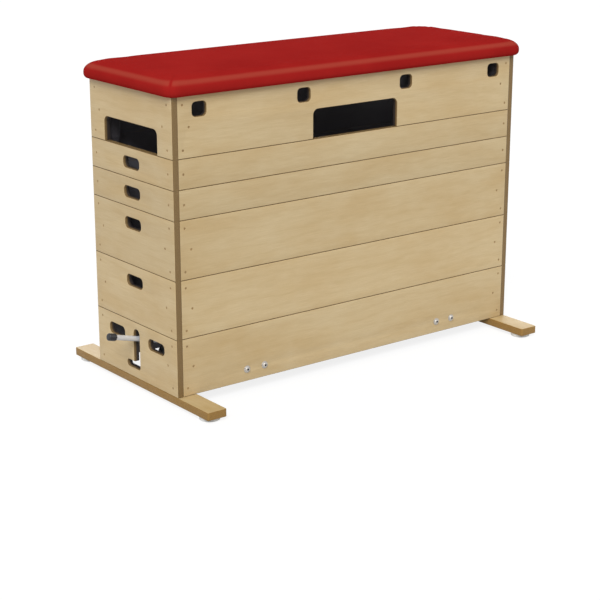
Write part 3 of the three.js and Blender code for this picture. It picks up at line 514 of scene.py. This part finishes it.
browned_steel = plain_metal("browned_steel", colour(168, 138, 92), 0.5, 90, metallic=0.15)
turn = np.radians(np.arange(screw_sides) * 360 / screw_sides + 180 / screw_sides)
round_ring = np.column_stack([np.cos(turn), np.sin(turn)])
cross_inner, cross_outer = 0.00075, 0.00205
cross_reach = np.where(np.arange(screw_sides) % 3 == 1, cross_inner, cross_outer)[:, None]
screw_profile = [(0.0018, 0.0032), (0.0036, 0.0012), (0.0040, 0.0007), (0.0037, 0.0005)]
screw_rings = [np.column_stack([round_ring * radius, np.full(screw_sides, depth)])
               for radius, depth in screw_profile]
screw_rings += [np.column_stack([round_ring * cross_reach * share, np.full(screw_sides, depth)])
                for share, depth in ((1, 0.0005), (0.55, 0.0017))]
screw_flat = np.vstack(screw_rings)
screw_faces = ring_quads(0, len(screw_rings), screw_sides)[:, ::-1]
for body, placed in screw_places.items():
    placed = np.array(placed)
    points = placed[:, None, 0] + np.einsum("pk,skj->spj", screw_flat, placed[:, 1:])
    starts = np.arange(len(placed))[:, None, None] * len(screw_flat)
    faces = (screw_faces[None] + starts).reshape(-1, 4).tolist()
    last = len(screw_flat) - screw_sides
    faces += [(np.arange(screw_sides) + last + start).tolist() for start in starts.ravel()]
    faces += [(np.arange(screw_sides)[::-1] + start).tolist() for start in starts.ravel()]
    make_piece(f"{body}_screws", points.reshape(-1, 3), faces, body, browned_steel)


# Corner posts
# A square post of planed pine, its dark grey colour painted shade like the inner faces, stands in each
# corner of a section, glued and screwed to the panels. Its lower end is a tapered tongue that drops
# into the section below.
post_half, post_gap, post_bevel, post_round, least_round = 0.0249, 0.0001, 0.001, 0.08, 0.0015
tongue_root, tongue_tip, tongue_reach, tongue_room = 0.0231, 0.0186, 0.040, 0.043
tip_bevel, tip_rise, tongue_step = 0.003, 0.004, 0.0008


def solid_wood(name, pale, dark):
    """Planed softwood: growth rings cut lengthwise, as bands across the grain that wander with it."""
    made, tree, shader = new_material(name)
    grain = stored(tree, "grain", "Vector")
    stretched = shade_node(tree, "ShaderNodeMapping", grain, None, None, (1.2, 9.0, 9.0))
    rings = shade_node(tree, "ShaderNodeTexWave", stretched, 14.0, 3.0, 2.0, 1.5, 0.5,
                       bands_direction="DIAGONAL")
    drawn = shade_node(tree, "ShaderNodeMapping", grain, None, None, (20.0, 700.0, 700.0))
    fibres = shade_node(tree, "ShaderNodeTexNoise", drawn, None, 1.0, 3.0)
    share = math_node(tree, "MULTIPLY_ADD", rings, 0.6, math_node(tree, "MULTIPLY", fibres, 0.4))
    tree.links.new(mixed(tree, share, pale, dark), shader.inputs["Base Color"])
    shader.inputs["Roughness"].default_value = 0.5
    bump = shade_node(tree, "ShaderNodeBump", 0.1, 0.0004, None, fibres)
    tree.links.new(bump, shader.inputs["Normal"])
    return made


# The pine's dark grey colours are painted shade.
post_wood = solid_wood("pine_dark_painted_shade", colour(80, 78, 83), colour(69, 66, 70))


def square_ring(half, height):
    """A square with eased corners at a height."""
    loop = rounded_loop((0, 0), 2 * half, 2 * half, max(half * post_round, least_round), 4)
    return np.column_stack([loop, np.full(len(loop), height)])


for section, body in zip(section_names, bodies):
    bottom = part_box(f"{section}_lever_end_panel")[0].z
    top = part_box(f"{section}_lever_end_panel")[1].z - (0 if section == "top" else tongue_room)
    profile = [(post_half, bottom), (post_half, top - post_bevel), (post_half - post_bevel, top)]
    if section != "base":
        tip = bottom - tongue_reach
        profile = [(tongue_tip - tip_bevel, tip), (tongue_tip, tip + tip_rise), (tongue_root, bottom),
                   (post_half - tongue_step, bottom)] + profile
    rings = np.array([square_ring(half, height) for half, height in profile])
    points, faces = revolved(rings)
    corners = [(middle[0] + end * (long_half - post_half - post_gap),
                side * (end_half - ply - post_half - post_gap), 0)
               for end in (-1, 1) for side in (-1, 1)]
    all_points = np.vstack([points + corner for corner in corners])
    all_faces = [np.asarray(face) + number * len(points) for number in range(4) for face in faces]
    piece = make_piece(f"{section}_posts", all_points, all_faces, body, post_wood)
    keep_on_points(piece, "grain", all_points[:, [2, 0, 1]])


# Sledge boards and foot discs
# Two birch plywood boards carry the base across its ends, with their corners and edges rounded. Each
# lies on two turned discs of white polyamide, screwed on from below.
sledge_thickness, sledge_corner, sledge_ease = 0.027, 0.006, 0.0025
sledge_ply = veneer_material("sledge_plywood", sledge_thickness, colour(190, 166, 118),
                             colour(182, 155, 106), colour(128, 94, 42), colour(170, 134, 74),
                             colour(116, 86, 44), colour(187, 163, 116), 0.45)
for end in ("lever", "far"):
    low, high = (np.array(corner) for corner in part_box(f"{end}_sledge_board"))
    length, width, thickness = high[1] - low[1], high[0] - low[0], high[2] - low[2]
    loop = rounded_loop((0, 0), length, width, sledge_corner, 6)
    corner = np.array([(low[0] + high[0]) / 2, 0, high[2]])
    place = (corner, ACROSS, -ALONG, -UP)
    tone += 1
    ease = np.full((1, 2), sledge_ease)
    piece = board(f"{end}_sledge", loop, [], thickness, place, ease, "base",
                  sledge_ply, tone)
    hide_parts(f"{end}_sledge_board")


def turned(profile, sides, centre, axis=UP, across=ALONG):
    """A profile of (radius, height) turned about an axis, as rings of points from its first end."""
    side = np.cross(axis, across)
    turn = np.radians(np.arange(sides) * 360 / sides)
    around = np.cos(turn)[:, None] * across + np.sin(turn)[:, None] * side
    profile = np.array(profile)
    return centre + profile[:, :1, None] * around + profile[:, 1:, None] * axis


def moulded(name, tint, roughness, scale, depth=0.0002):
    """Moulded or turned plastic with a fine satin grain."""
    made, tree, shader = new_material(name)
    place = shade_node(tree, "ShaderNodeTexCoord").node.outputs["Object"]
    fine = shade_node(tree, "ShaderNodeTexNoise", place, None, scale, 3.0)
    clouds = shade_node(tree, "ShaderNodeTexNoise", place, None, scale / 30, 3.0)
    darker = tuple(channel * 0.82 for channel in tint[:3]) + (1,)
    dress(tree, shader, mixed(tree, ranged(tree, clouds, 0.35, 0.7, 0.0, 0.5), tint, darker),
          ranged(tree, fine, 0.3, 0.7, roughness - 0.06, roughness + 0.08), fine, 0.15, depth)
    return made


disc_plastic = moulded("disc_polyamide", colour(222, 222, 220), 0.45, 900)
disc_profile = [(0.0005, 0.006), (0.0095, 0.006), (0.0099, 0.0057), (0.010, 0.0008), (0.0108, 0),
                (0.0322, 0), (0.0336, 0.0006), (0.0346, 0.0017), (0.035, 0.0032), (0.035, 0.0118),
                (0.0346, 0.0127), (0.0337, 0.013), (0.0005, 0.013)]
disc_screw = [(0.0002, 0.0016), (0.0045, 0.0016), (0.0072, 0.0024), (0.0078, 0.0034), (0.0078, 0.0059),
              (0.0002, 0.0059)]
for end in ("lever", "far"):
    for side in ("front", "rear"):
        node = f"{end}_{side}_foot_disc"
        low, high = (np.array(corner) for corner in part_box(node))
        centre = np.array([(low[0] + high[0]) / 2, (low[1] + high[1]) / 2, 0])
        points, faces = revolved(turned(disc_profile, 64, centre))
        piece = make_piece(f"{end}_{side}_foot", points, faces, "base", disc_plastic)
        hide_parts(node)
        points, faces = revolved(turned(disc_screw, 24, centre))
        make_piece(f"{end}_{side}_foot_screw", points, faces, "base", browned_steel)


# Bracket bolts
# A zinc-plated bolt with a button head and a hexagon socket, on a wide washer, holds each end of
# a bracket through the long panel, with a nut inside. The socket's dark colour is painted shade.
zinc = plain_metal("zinc_plating", colour(198, 194, 188), 0.52, 60, 0.12)
tree = zinc.node_tree
shader = tree.nodes["Principled BSDF"]
# The socket is coloured dark and not metallic: painted shade.
socket_painted_shade = stored(tree, "socket")
plated = shader.inputs["Base Color"].links[0].from_socket
tree.links.new(mixed(tree, socket_painted_shade, plated, colour(34, 29, 26)), shader.inputs["Base Color"])
tree.links.new(ranged(tree, socket_painted_shade, 0.0, 1.0, 0.6, 0.0), shader.inputs["Metallic"])
bolt_sides, socket_start, bolt_inset = 48, 21, 0.0003
bolt_turn = np.arange(bolt_sides) * 360 / bolt_sides
hexagon = math.cos(math.radians(30)) / np.cos(np.radians((bolt_turn + 30) % 60 - 30))
plain = np.ones(bolt_sides)
bolt_profile = [
    (0.0001, -0.0149, plain), (0.0042, -0.0149, plain), (0.0050, -0.0141, plain),
    (0.0050, -0.0133, plain), (0.0090, -0.0133, hexagon), (0.0098, -0.0127, hexagon),
    (0.0098, -0.0059, hexagon), (0.0092, -0.0053, hexagon), (0.0050, -0.0053, plain),
    (0.0050, 0.0216, plain), (0.0122, 0.0216, plain), (0.0125, 0.0219, plain), (0.0125, 0.0232, plain),
    (0.0121, 0.0236, plain), (0.0091, 0.0236, plain), (0.0091, 0.0245, plain), (0.0088, 0.0259, plain),
    (0.0078, 0.0273, plain), (0.0063, 0.0282, plain), (0.0049, 0.0286, plain),
    (0.0044, 0.0286, hexagon), (0.0042, 0.0283, hexagon), (0.0041, 0.0256, hexagon),
    (0.0001, 0.0250, plain),
]
for end in ("lever", "far"):
    for side, outwards in (("front", -1), ("rear", 1)):
        for step in ("inner", "outer"):
            node = f"{end}_{side}_{step}_bolt"
            low, high = (np.array(corner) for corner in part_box(node))
            centre = (low + high) / 2
            centre[1] = outwards * (end_half - ply - bolt_inset)
            axis = outwards * ACROSS
            turn = np.radians(bolt_turn)
            around = np.cos(turn)[:, None] * ALONG + np.sin(turn)[:, None] * np.cross(axis, ALONG)
            rings = np.array([centre + radius * shape[:, None] * around + height * axis
                              for radius, height, shape in bolt_profile])
            points, faces = revolved(rings)
            piece = make_piece(f"{node}_turned", points, faces, "base", zinc)
            in_ring = np.arange(len(bolt_profile)) >= socket_start
            keep_on_points(piece, "socket", np.repeat(in_ring, bolt_sides))
            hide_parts(node)


# Lever and grip
# A round zinc-plated bar comes from the lever frame out through the slot in the end panel, and carries
# a short black grip with rings round it.
lift, drop = math.radians(17.4), math.radians(3)
slope = lift - drop
half_length, pivot_inset, pivot_height, bar_offset = 0.75, 0.317, 0.043, 0.018
pivot = np.array([middle[0] - (half_length - pivot_inset), 0, box_low.z + pivot_height])
outwards = np.array([-math.cos(slope), 0, math.sin(slope)])
over = np.array([math.sin(slope), 0, math.cos(slope)])
bar_axis = pivot + bar_offset * over
bar_profile = [(0.0001, 0.0168), (0.0082, 0.0168), (0.009, 0.0176), (0.009, 0.4384), (0.0086, 0.4389),
               (0.0001, 0.4389)]
bright_zinc = plain_metal("bright_zinc_bar", colour(214, 216, 221), 0.4, 40, 0.08, 0.25)
points, faces = revolved(turned(bar_profile, 40, bar_axis, outwards, ACROSS))
piece = make_piece("lever_rod", points, faces, "lever_frame", bright_zinc)
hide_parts("lever_bar")

grip_plastic = moulded("grip_plastic", colour(25, 25, 32), 0.42, 1500, 0.0003)
rings_start, rings_end, ring_pitch = 0.4215, 0.4425, 0.0042
along_grip = np.linspace(rings_start, rings_end, 43)
ring_turn = (along_grip - rings_start) / ring_pitch * 2 * math.pi
grip_radius = 0.0125 + 0.0005 * np.cos(ring_turn)
grip_profile = [(0.0093, 0.4393), (0.0093, 0.4170), (0.0105, 0.4170), (0.0118, 0.4180),
                *zip(grip_radius, along_grip), (0.0122, 0.4444), (0.0112, 0.4459), (0.0096, 0.4467),
                (0.0070, 0.4470), (0.0001, 0.4470)]
points, faces = revolved(turned(grip_profile, 48, bar_axis, outwards, ACROSS))
piece = make_piece("ringed_grip", points, faces, "lever_frame", grip_plastic)
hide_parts("lever_grip")


# Wheels
# Four wheels with a grey rubber tyre on a pale plastic hub turn on steel axles.
wheel_sides = 56
tyre_rubber = moulded("tyre_rubber", colour(108, 110, 112), 0.7, 1200, 0.0004)
hub_plastic = moulded("hub_plastic", colour(196, 197, 196), 0.4, 900)
tyre_profile = [(0.0272, -0.0112), (0.0335, -0.0118), (0.0356, -0.0108), (0.0369, -0.0085),
                (0.0375, -0.0050), (0.0375, 0.0050), (0.0369, 0.0085), (0.0356, 0.0108),
                (0.0335, 0.0118), (0.0272, 0.0112)]
for body in ("lever_front_wheel", "lever_rear_wheel", "far_front_wheel", "far_rear_wheel"):
    low, high = (np.array(corner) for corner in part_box(body))
    centre = (low + high) / 2
    half_hub = (high[1] - low[1]) / 2
    hub_profile = [(0.0046, -half_hub), (0.0112, -half_hub), (0.0120, 0.0008 - half_hub),
                   (0.0124, -0.0058), (0.0140, -0.0050), (0.0240, -0.0050), (0.0254, -0.0058),
                   (0.0260, -0.0105), (0.0266, -0.0114), (0.0271, -0.0110), (0.0271, 0.0110),
                   (0.0266, 0.0114), (0.0260, 0.0105), (0.0254, 0.0058), (0.0240, 0.0050),
                   (0.0140, 0.0050), (0.0124, 0.0058), (0.0120, half_hub - 0.0008),
                   (0.0112, half_hub), (0.0046, half_hub)]
    for part, profile, slot, material in (("tyre", tyre_profile, "wheel_rubber", tyre_rubber),
                                          ("hub", hub_profile, "white_plastic", hub_plastic)):
        rings = turned(profile, wheel_sides, centre, ACROSS, ALONG)
        faces = ring_quads(0, len(rings), wheel_sides)
        first, last = faces[:wheel_sides], faces[-wheel_sides:]
        closing = np.column_stack([last[:, 1], first[:, 0], first[:, 3], last[:, 2]])
        faces = np.vstack([faces, closing])[:, ::-1]
        piece = make_piece(f"{body}_{part}", rings.reshape(-1, 3), faces, body, material)
        if part == "tyre":
            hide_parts(body)


# Frames, brackets, forks and tie rod
# The welded lift frames and the brackets are powder-coated dark grey. The forks, the shafts and the tie
# rod are zinc-plated.
grey_paint = plain_metal("grey_powder_coat", colour(64, 67, 72), 0.5, 700, 0.15)
for node in ("lever_lift_frame", "far_lift_frame", "lever_front_bracket", "lever_rear_bracket",
             "far_front_bracket", "far_rear_bracket"):
    bpy.data.objects[node].material_slots[0].material = grey_paint
for node in ("front_castor_fork", "rear_castor_fork", "tie_rod", "lever_pivot_shaft",
             "far_pivot_shaft"):
    bpy.data.objects[node].material_slots[0].material = zinc


# Return springs
# Two torsion springs of 4 mm wire lie round the hub of the lever frame. One end of each is hooked into
# an arm of the frame and the other into a bracket, and the coil winds up as the lever goes down.
wire_radius, coil_radius, bend_radius = 0.002, 0.019, 0.0029
arm_hook = np.array([-0.03548, 0, 0.001454])
bracket_hook = np.array([0.030, 0, coil_radius])
hook_start, coil_inner, coil_outer, hook_end = 0.173, 0.1819, 0.2008, 0.2257
coil_start, coil_sweep = 120, 1470
arm_leg = np.array([0.866, 0, 0.5])


def wire_bend(corner, come, go):
    """A quarter turn of wire at a corner, from the direction come into the direction go."""
    turn = np.radians(np.linspace(0, 90, 7))[:, None]
    return corner - come * bend_radius * (1 - np.sin(turn)) + go * bend_radius * (1 - np.cos(turn))


def round_wire(path, radius, sides):
    """A round skin along a path that winds about the Y axis. Each ring stands square to the path and
    starts in the direction away from the axis."""
    ahead = np.gradient(path, axis=0)
    ahead /= np.linalg.norm(ahead, axis=1, keepdims=True)
    away = path * [1, 0, 1]
    away = away - ahead * (away * ahead).sum(1, keepdims=True)
    away /= np.linalg.norm(away, axis=1, keepdims=True)
    beside = np.cross(ahead, away)
    turn = np.radians(np.arange(sides) * 360 / sides)[:, None]
    around = np.cos(turn) * away[:, None] + np.sin(turn) * beside[:, None]
    return path[:, None] + radius * around


sweep = np.linspace(0, 1, 197)[:, None]
coil_turn = np.radians(coil_start - coil_sweep * sweep)
coil = np.hstack([coil_radius * np.cos(coil_turn), coil_inner + (coil_outer - coil_inner) * sweep,
                  coil_radius * np.sin(coil_turn)])
spring_path = np.vstack([
    arm_hook + hook_start * ACROSS, wire_bend(arm_hook + coil_inner * ACROSS, ACROSS, arm_leg), coil,
    wire_bend(bracket_hook + coil_outer * ACROSS, ALONG, ACROSS), bracket_hook + hook_end * ACROSS,
])
spring_wire = plain_metal("zinc_spring_wire", colour(176, 178, 182), 0.34, 150, 0.2, 0.85)
for side_name, side in (("front", -1), ("rear", 1)):
    rings = round_wire(spring_path, wire_radius, 14) * [1, side, 1] + pivot
    points, faces = revolved(rings if side > 0 else rings[::-1])
    piece = make_piece(f"{side_name}_spring_wire", points, faces, None, spring_wire)
    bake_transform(piece)
    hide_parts(f"{side_name}_return_spring")


# Padded top: deck board
# The deck is one sheet of birch plywood with its lower edge rounded, so that it doesn't cut the cover.
deck_trim, deck_corner, deck_ease = 0.005, 0.036, 0.015
low, high = (np.array(corner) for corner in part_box("deck_board"))
loop = rounded_loop((0, 0), high[0] - low[0] - deck_trim, high[1] - low[1] - deck_trim, deck_corner, 12)
corner = np.array([(low[0] + high[0]) / 2, 0, low[2]])
place = (corner, ALONG, -ACROSS, UP)
tone += 1
piece = board("deck_sheet", loop, [], high[2] - low[2], place, np.full((1, 2), deck_ease),
              "top_section", sledge_ply, tone)
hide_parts("deck_board")


# Padded top: foam and cover
# Firm foam lies on the deck, and a red coated fabric is drawn over both, folded round the corners along
# a seam, and stapled under the board. Its swelling is simulated. A paler band along its shoulder is a
# painted highlight, and a darker line along the corner seams is painted shade.
cover_low, cover_high = (np.array(corner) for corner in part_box("pad_cover"))
pad_half = (cover_high - cover_low)[:2] / 2
pad_middle = (cover_high + cover_low)[:2] / 2
pad_height = cover_high[2] - cover_low[2]
pad_crown, pad_corner, pad_shoulder, pad_hem, pad_lap = 0.0025, 0.100, 0.038, 0.016, 0.018
pad_plan, cover_depth, foam_depth = 0.040, 0.0018, 0.0055
cover_step, margin_step, foam_step = 0.016, 0.0065, 0.012
quarter_points = 13
shoulder_start, shoulder_end = 1, quarter_points


def pad_profile(depth):
    """The skin's section at a depth under the outer face, as its reach and height against the length
    along it: a flat margin, a quarter round shoulder, a straight side, a quarter round hem, the lap."""
    quarter = np.linspace(0, math.pi / 2, quarter_points)
    edge, corner = pad_height - pad_crown, pad_corner
    reach = np.concatenate([[0], corner - pad_shoulder + (pad_shoulder - depth) * np.sin(quarter),
                            corner - pad_hem + (pad_hem - depth) * np.cos(quarter),
                            [corner - pad_hem - pad_lap]])
    height = np.concatenate([[edge - depth],
                             edge - pad_shoulder + (pad_shoulder - depth) * np.cos(quarter),
                             pad_hem * (1 - np.sin(quarter)), [0]])
    length = np.concatenate([[0], np.cumsum(np.hypot(np.diff(reach), np.diff(height)))])
    return length, reach, height


def pad_skin(depth, step, margin_step, rows=None):
    """A grid laid over the pad and folded down at its margins. Beyond the inner rectangle a point goes
    outwards by the section's reach, in a direction that turns evenly through each corner. A corner is
    wide at the top, and over the shoulder it spreads out to the tighter corner of the side. The top
    rises a little towards its middle. Returns the points, the quads, the length along the section and
    how far the direction is from a corner's middle."""
    length, reach, height = pad_profile(depth)
    count = round(length[-1] / margin_step)
    margin = np.arange(1, count + 1) * length[-1] / count
    margin = margin if rows is None else margin[:rows]
    inner = pad_half - pad_corner
    lines = []
    for half in inner:
        flat = np.linspace(-half, half, round(2 * half / step) + 1)
        lines.append(np.concatenate([-half - margin[::-1], flat, half + margin]))
    a, b = np.meshgrid(*lines, indexing="ij")
    beyond_a, beyond_b = np.abs(a) - inner[0], np.abs(b) - inner[1]
    beyond_a, beyond_b = np.maximum(beyond_a, 0), np.maximum(beyond_b, 0)
    along = np.maximum(beyond_a, beyond_b)
    least = np.minimum(beyond_a, beyond_b) / np.maximum(along, 1e-9)
    angle = np.where(beyond_a >= beyond_b, least, 2 - least) * math.pi / 4
    part_x, part_y = np.cos(angle), np.sin(angle)
    larger, smaller = np.maximum(part_x, part_y), np.minimum(part_x, part_y)
    arc_middle = pad_corner - pad_plan
    sideways = arc_middle * (part_x - part_y)
    round_side = arc_middle * (part_x + part_y) + np.sqrt(np.maximum(pad_plan ** 2 - sideways ** 2, 0))
    side = np.where(smaller * pad_corner > larger * arc_middle, round_side, pad_corner / larger)
    edge = length[shoulder_start]
    over_shoulder = np.clip((along - edge) / (length[shoulder_end] - edge), 0, 1)
    out = np.interp(along, length, reach) + np.sin(over_shoulder * math.pi / 2) * (side - pad_corner)
    x = np.sign(a) * (np.minimum(np.abs(a), inner[0]) + out * part_x * (along > 0))
    y = np.sign(b) * (np.minimum(np.abs(b), inner[1]) + out * part_y * (along > 0))
    rise = (1 - (y / pad_half[1]) ** 2) * (1 - (x / pad_half[0]) ** 8)
    on_top = np.clip(1 - along / edge, 0, 1)
    z = np.interp(along, length, height) + pad_crown * rise * np.where(along > 0, on_top, 1)
    points = np.stack([x + pad_middle[0], y + pad_middle[1], z + cover_low[2]], -1)
    number = np.arange(a.size).reshape(a.shape)
    quads = np.stack([number[:-1, :-1], number[1:, :-1], number[1:, 1:], number[:-1, 1:]], -1)
    in_corner = (beyond_a > 0) & (beyond_b > 0)
    aside = np.where(in_corner, (angle - math.pi / 4) * out, 1.0)
    return points.reshape(-1, 3), quads.reshape(-1, 4), along.ravel(), aside.ravel()


foam_material = moulded("cream_foam", colour(222, 212, 184), 0.9, 700, 0.0012)
foam_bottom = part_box("foam_pad")[0].z
length, _, height = pad_profile(foam_depth)
rows = round(length[-1] / foam_step)
foam_end = length[height > foam_bottom - cover_low[2]][-1]
foam_rows = int(np.searchsorted(np.arange(1, rows + 1) * length[-1] / rows, foam_end))
points, quads = pad_skin(foam_depth, foam_step, foam_step, foam_rows)[:2]
points[:, 2] = np.maximum(points[:, 2], foam_bottom)
shape = [round(2 * half / foam_step) + 1 + 2 * foam_rows for half in pad_half - pad_corner]
number = np.arange(len(points)).reshape(shape)
rim = np.concatenate([number[:-1, 0], number[-1, :-1], number[:0:-1, -1], number[0, :0:-1]])
faces = [*quads, rim[::-1]]
piece = make_piece("foam_block", points, faces, "top_section", foam_material)
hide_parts("foam_pad")

red_cover, tree, shader = new_material("red_coated_fabric")
place = shade_node(tree, "ShaderNodeTexCoord").node.outputs["Object"]
clouds = shade_node(tree, "ShaderNodeTexNoise", place, None, 5.0, 4.0)
scuffs = shade_node(tree, "ShaderNodeTexNoise", place, None, 38.0, 6.0, 0.65)
leather = shade_node(tree, "ShaderNodeTexVoronoi", place, None, 620.0, feature="DISTANCE_TO_EDGE")
weave = shade_node(tree, "ShaderNodeTexNoise", place, None, 1900.0, 2.0)
red = mixed(tree, ranged(tree, clouds, 0.35, 0.65), colour(156, 33, 30), colour(148, 29, 27))
red = mixed(tree, ranged(tree, scuffs, 0.60, 0.75, 0.0, 0.2), red, colour(159, 41, 35))
# A paler band over the shoulder, fading out at the corner seams, is a painted highlight.
painted_sheen = ranged(tree, stored(tree, "shoulder"), 0.0, 0.9, 0.0, 0.68, interpolation_type="SMOOTHSTEP")
from_seam = math_node(tree, "ABSOLUTE", stored(tree, "aside"))
off_seam = ranged(tree, from_seam, 0.001, 0.009, interpolation_type="SMOOTHSTEP")
red = mixed(tree, math_node(tree, "MULTIPLY", painted_sheen, off_seam), red, colour(164, 68, 54))
# A darker line along each corner seam's groove is painted shade.
groove = ranged(tree, from_seam, 0.0004, 0.0016, 1.0, 0.0)
red = mixed(tree, math_node(tree, "MULTIPLY", groove, 0.15), red, colour(110, 16, 18))
cells = ranged(tree, leather, 0.0, 0.12)
relief = math_node(tree, "MULTIPLY_ADD", cells, 0.6, math_node(tree, "MULTIPLY", weave, 0.3))
relief = math_node(tree, "SUBTRACT", relief, math_node(tree, "MULTIPLY", groove, 4.0))
dress(tree, shader, red, ranged(tree, scuffs, 0.3, 0.7, 0.40, 0.52), relief, 0.35, 0.0004)
shader.inputs["IOR"].default_value = 1.003

points, quads, along, aside = pad_skin(cover_depth, cover_step, margin_step)
pad = make_piece("pad_cover_fabric", points, quads, "top_section", red_cover)
length = pad_profile(cover_depth)[0]
# Staples hold it from two thirds round the hem on, and the painted highlight lies half way round the
# shoulder.
staples, sheen_middle, sheen_reach = length[22], (length[7] + length[8]) / 2, 0.016
group = pad.vertex_groups.new(name="stapled")
group.add(np.flatnonzero(along > staples).tolist(), 1.0, "REPLACE")
cloth_frames, swell_cap, foam_gap = 20, 0.0030, 0.0018
cloth = pad.modifiers.new("drawn_over_foam", "CLOTH")
cloth.settings.use_pressure = True
cloth.settings.uniform_pressure_force = 0.2
cloth.settings.vertex_group_mass = "stapled"
cloth.settings.effector_weights.gravity = 0
cloth.settings.tension_stiffness = 60
cloth.settings.compression_stiffness = 60
cloth.point_cache.frame_end = cloth_frames
for frame_number in range(1, cloth_frames + 1):
    bpy.context.scene.frame_set(frame_number)
drawn = pad.evaluated_get(bpy.context.evaluated_depsgraph_get()).data
moved = np.empty(len(points) * 3)
drawn.vertices.foreach_get("co", moved)
pad.modifiers.remove(cloth)
bpy.context.scene.frame_set(1)
facing = np.empty(len(points) * 3)
pad.data.vertex_normals.foreach_get("vector", facing)
facing = facing.reshape(-1, 3)
swelled = ((moved.reshape(-1, 3) - points) * facing).sum(1, keepdims=True)
swelled = np.maximum(swell_cap * np.tanh(swelled / swell_cap), -foam_gap)
pad.data.vertices.foreach_set("co", (points + swelled * facing).ravel())
pad.data.update()
keep_on_points(pad, "aside", aside)
keep_on_points(pad, "shoulder", 1 - np.abs(along - sheen_middle) / sheen_reach)
pad.vertex_groups.clear()
fabric = pad.modifiers.new("fabric", "SOLIDIFY")
fabric.thickness = 0.0014
fabric.offset = -1
smooth = pad.modifiers.new("smooth", "SUBSURF")
smooth.levels = smooth.render_levels = 1
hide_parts("pad_cover")
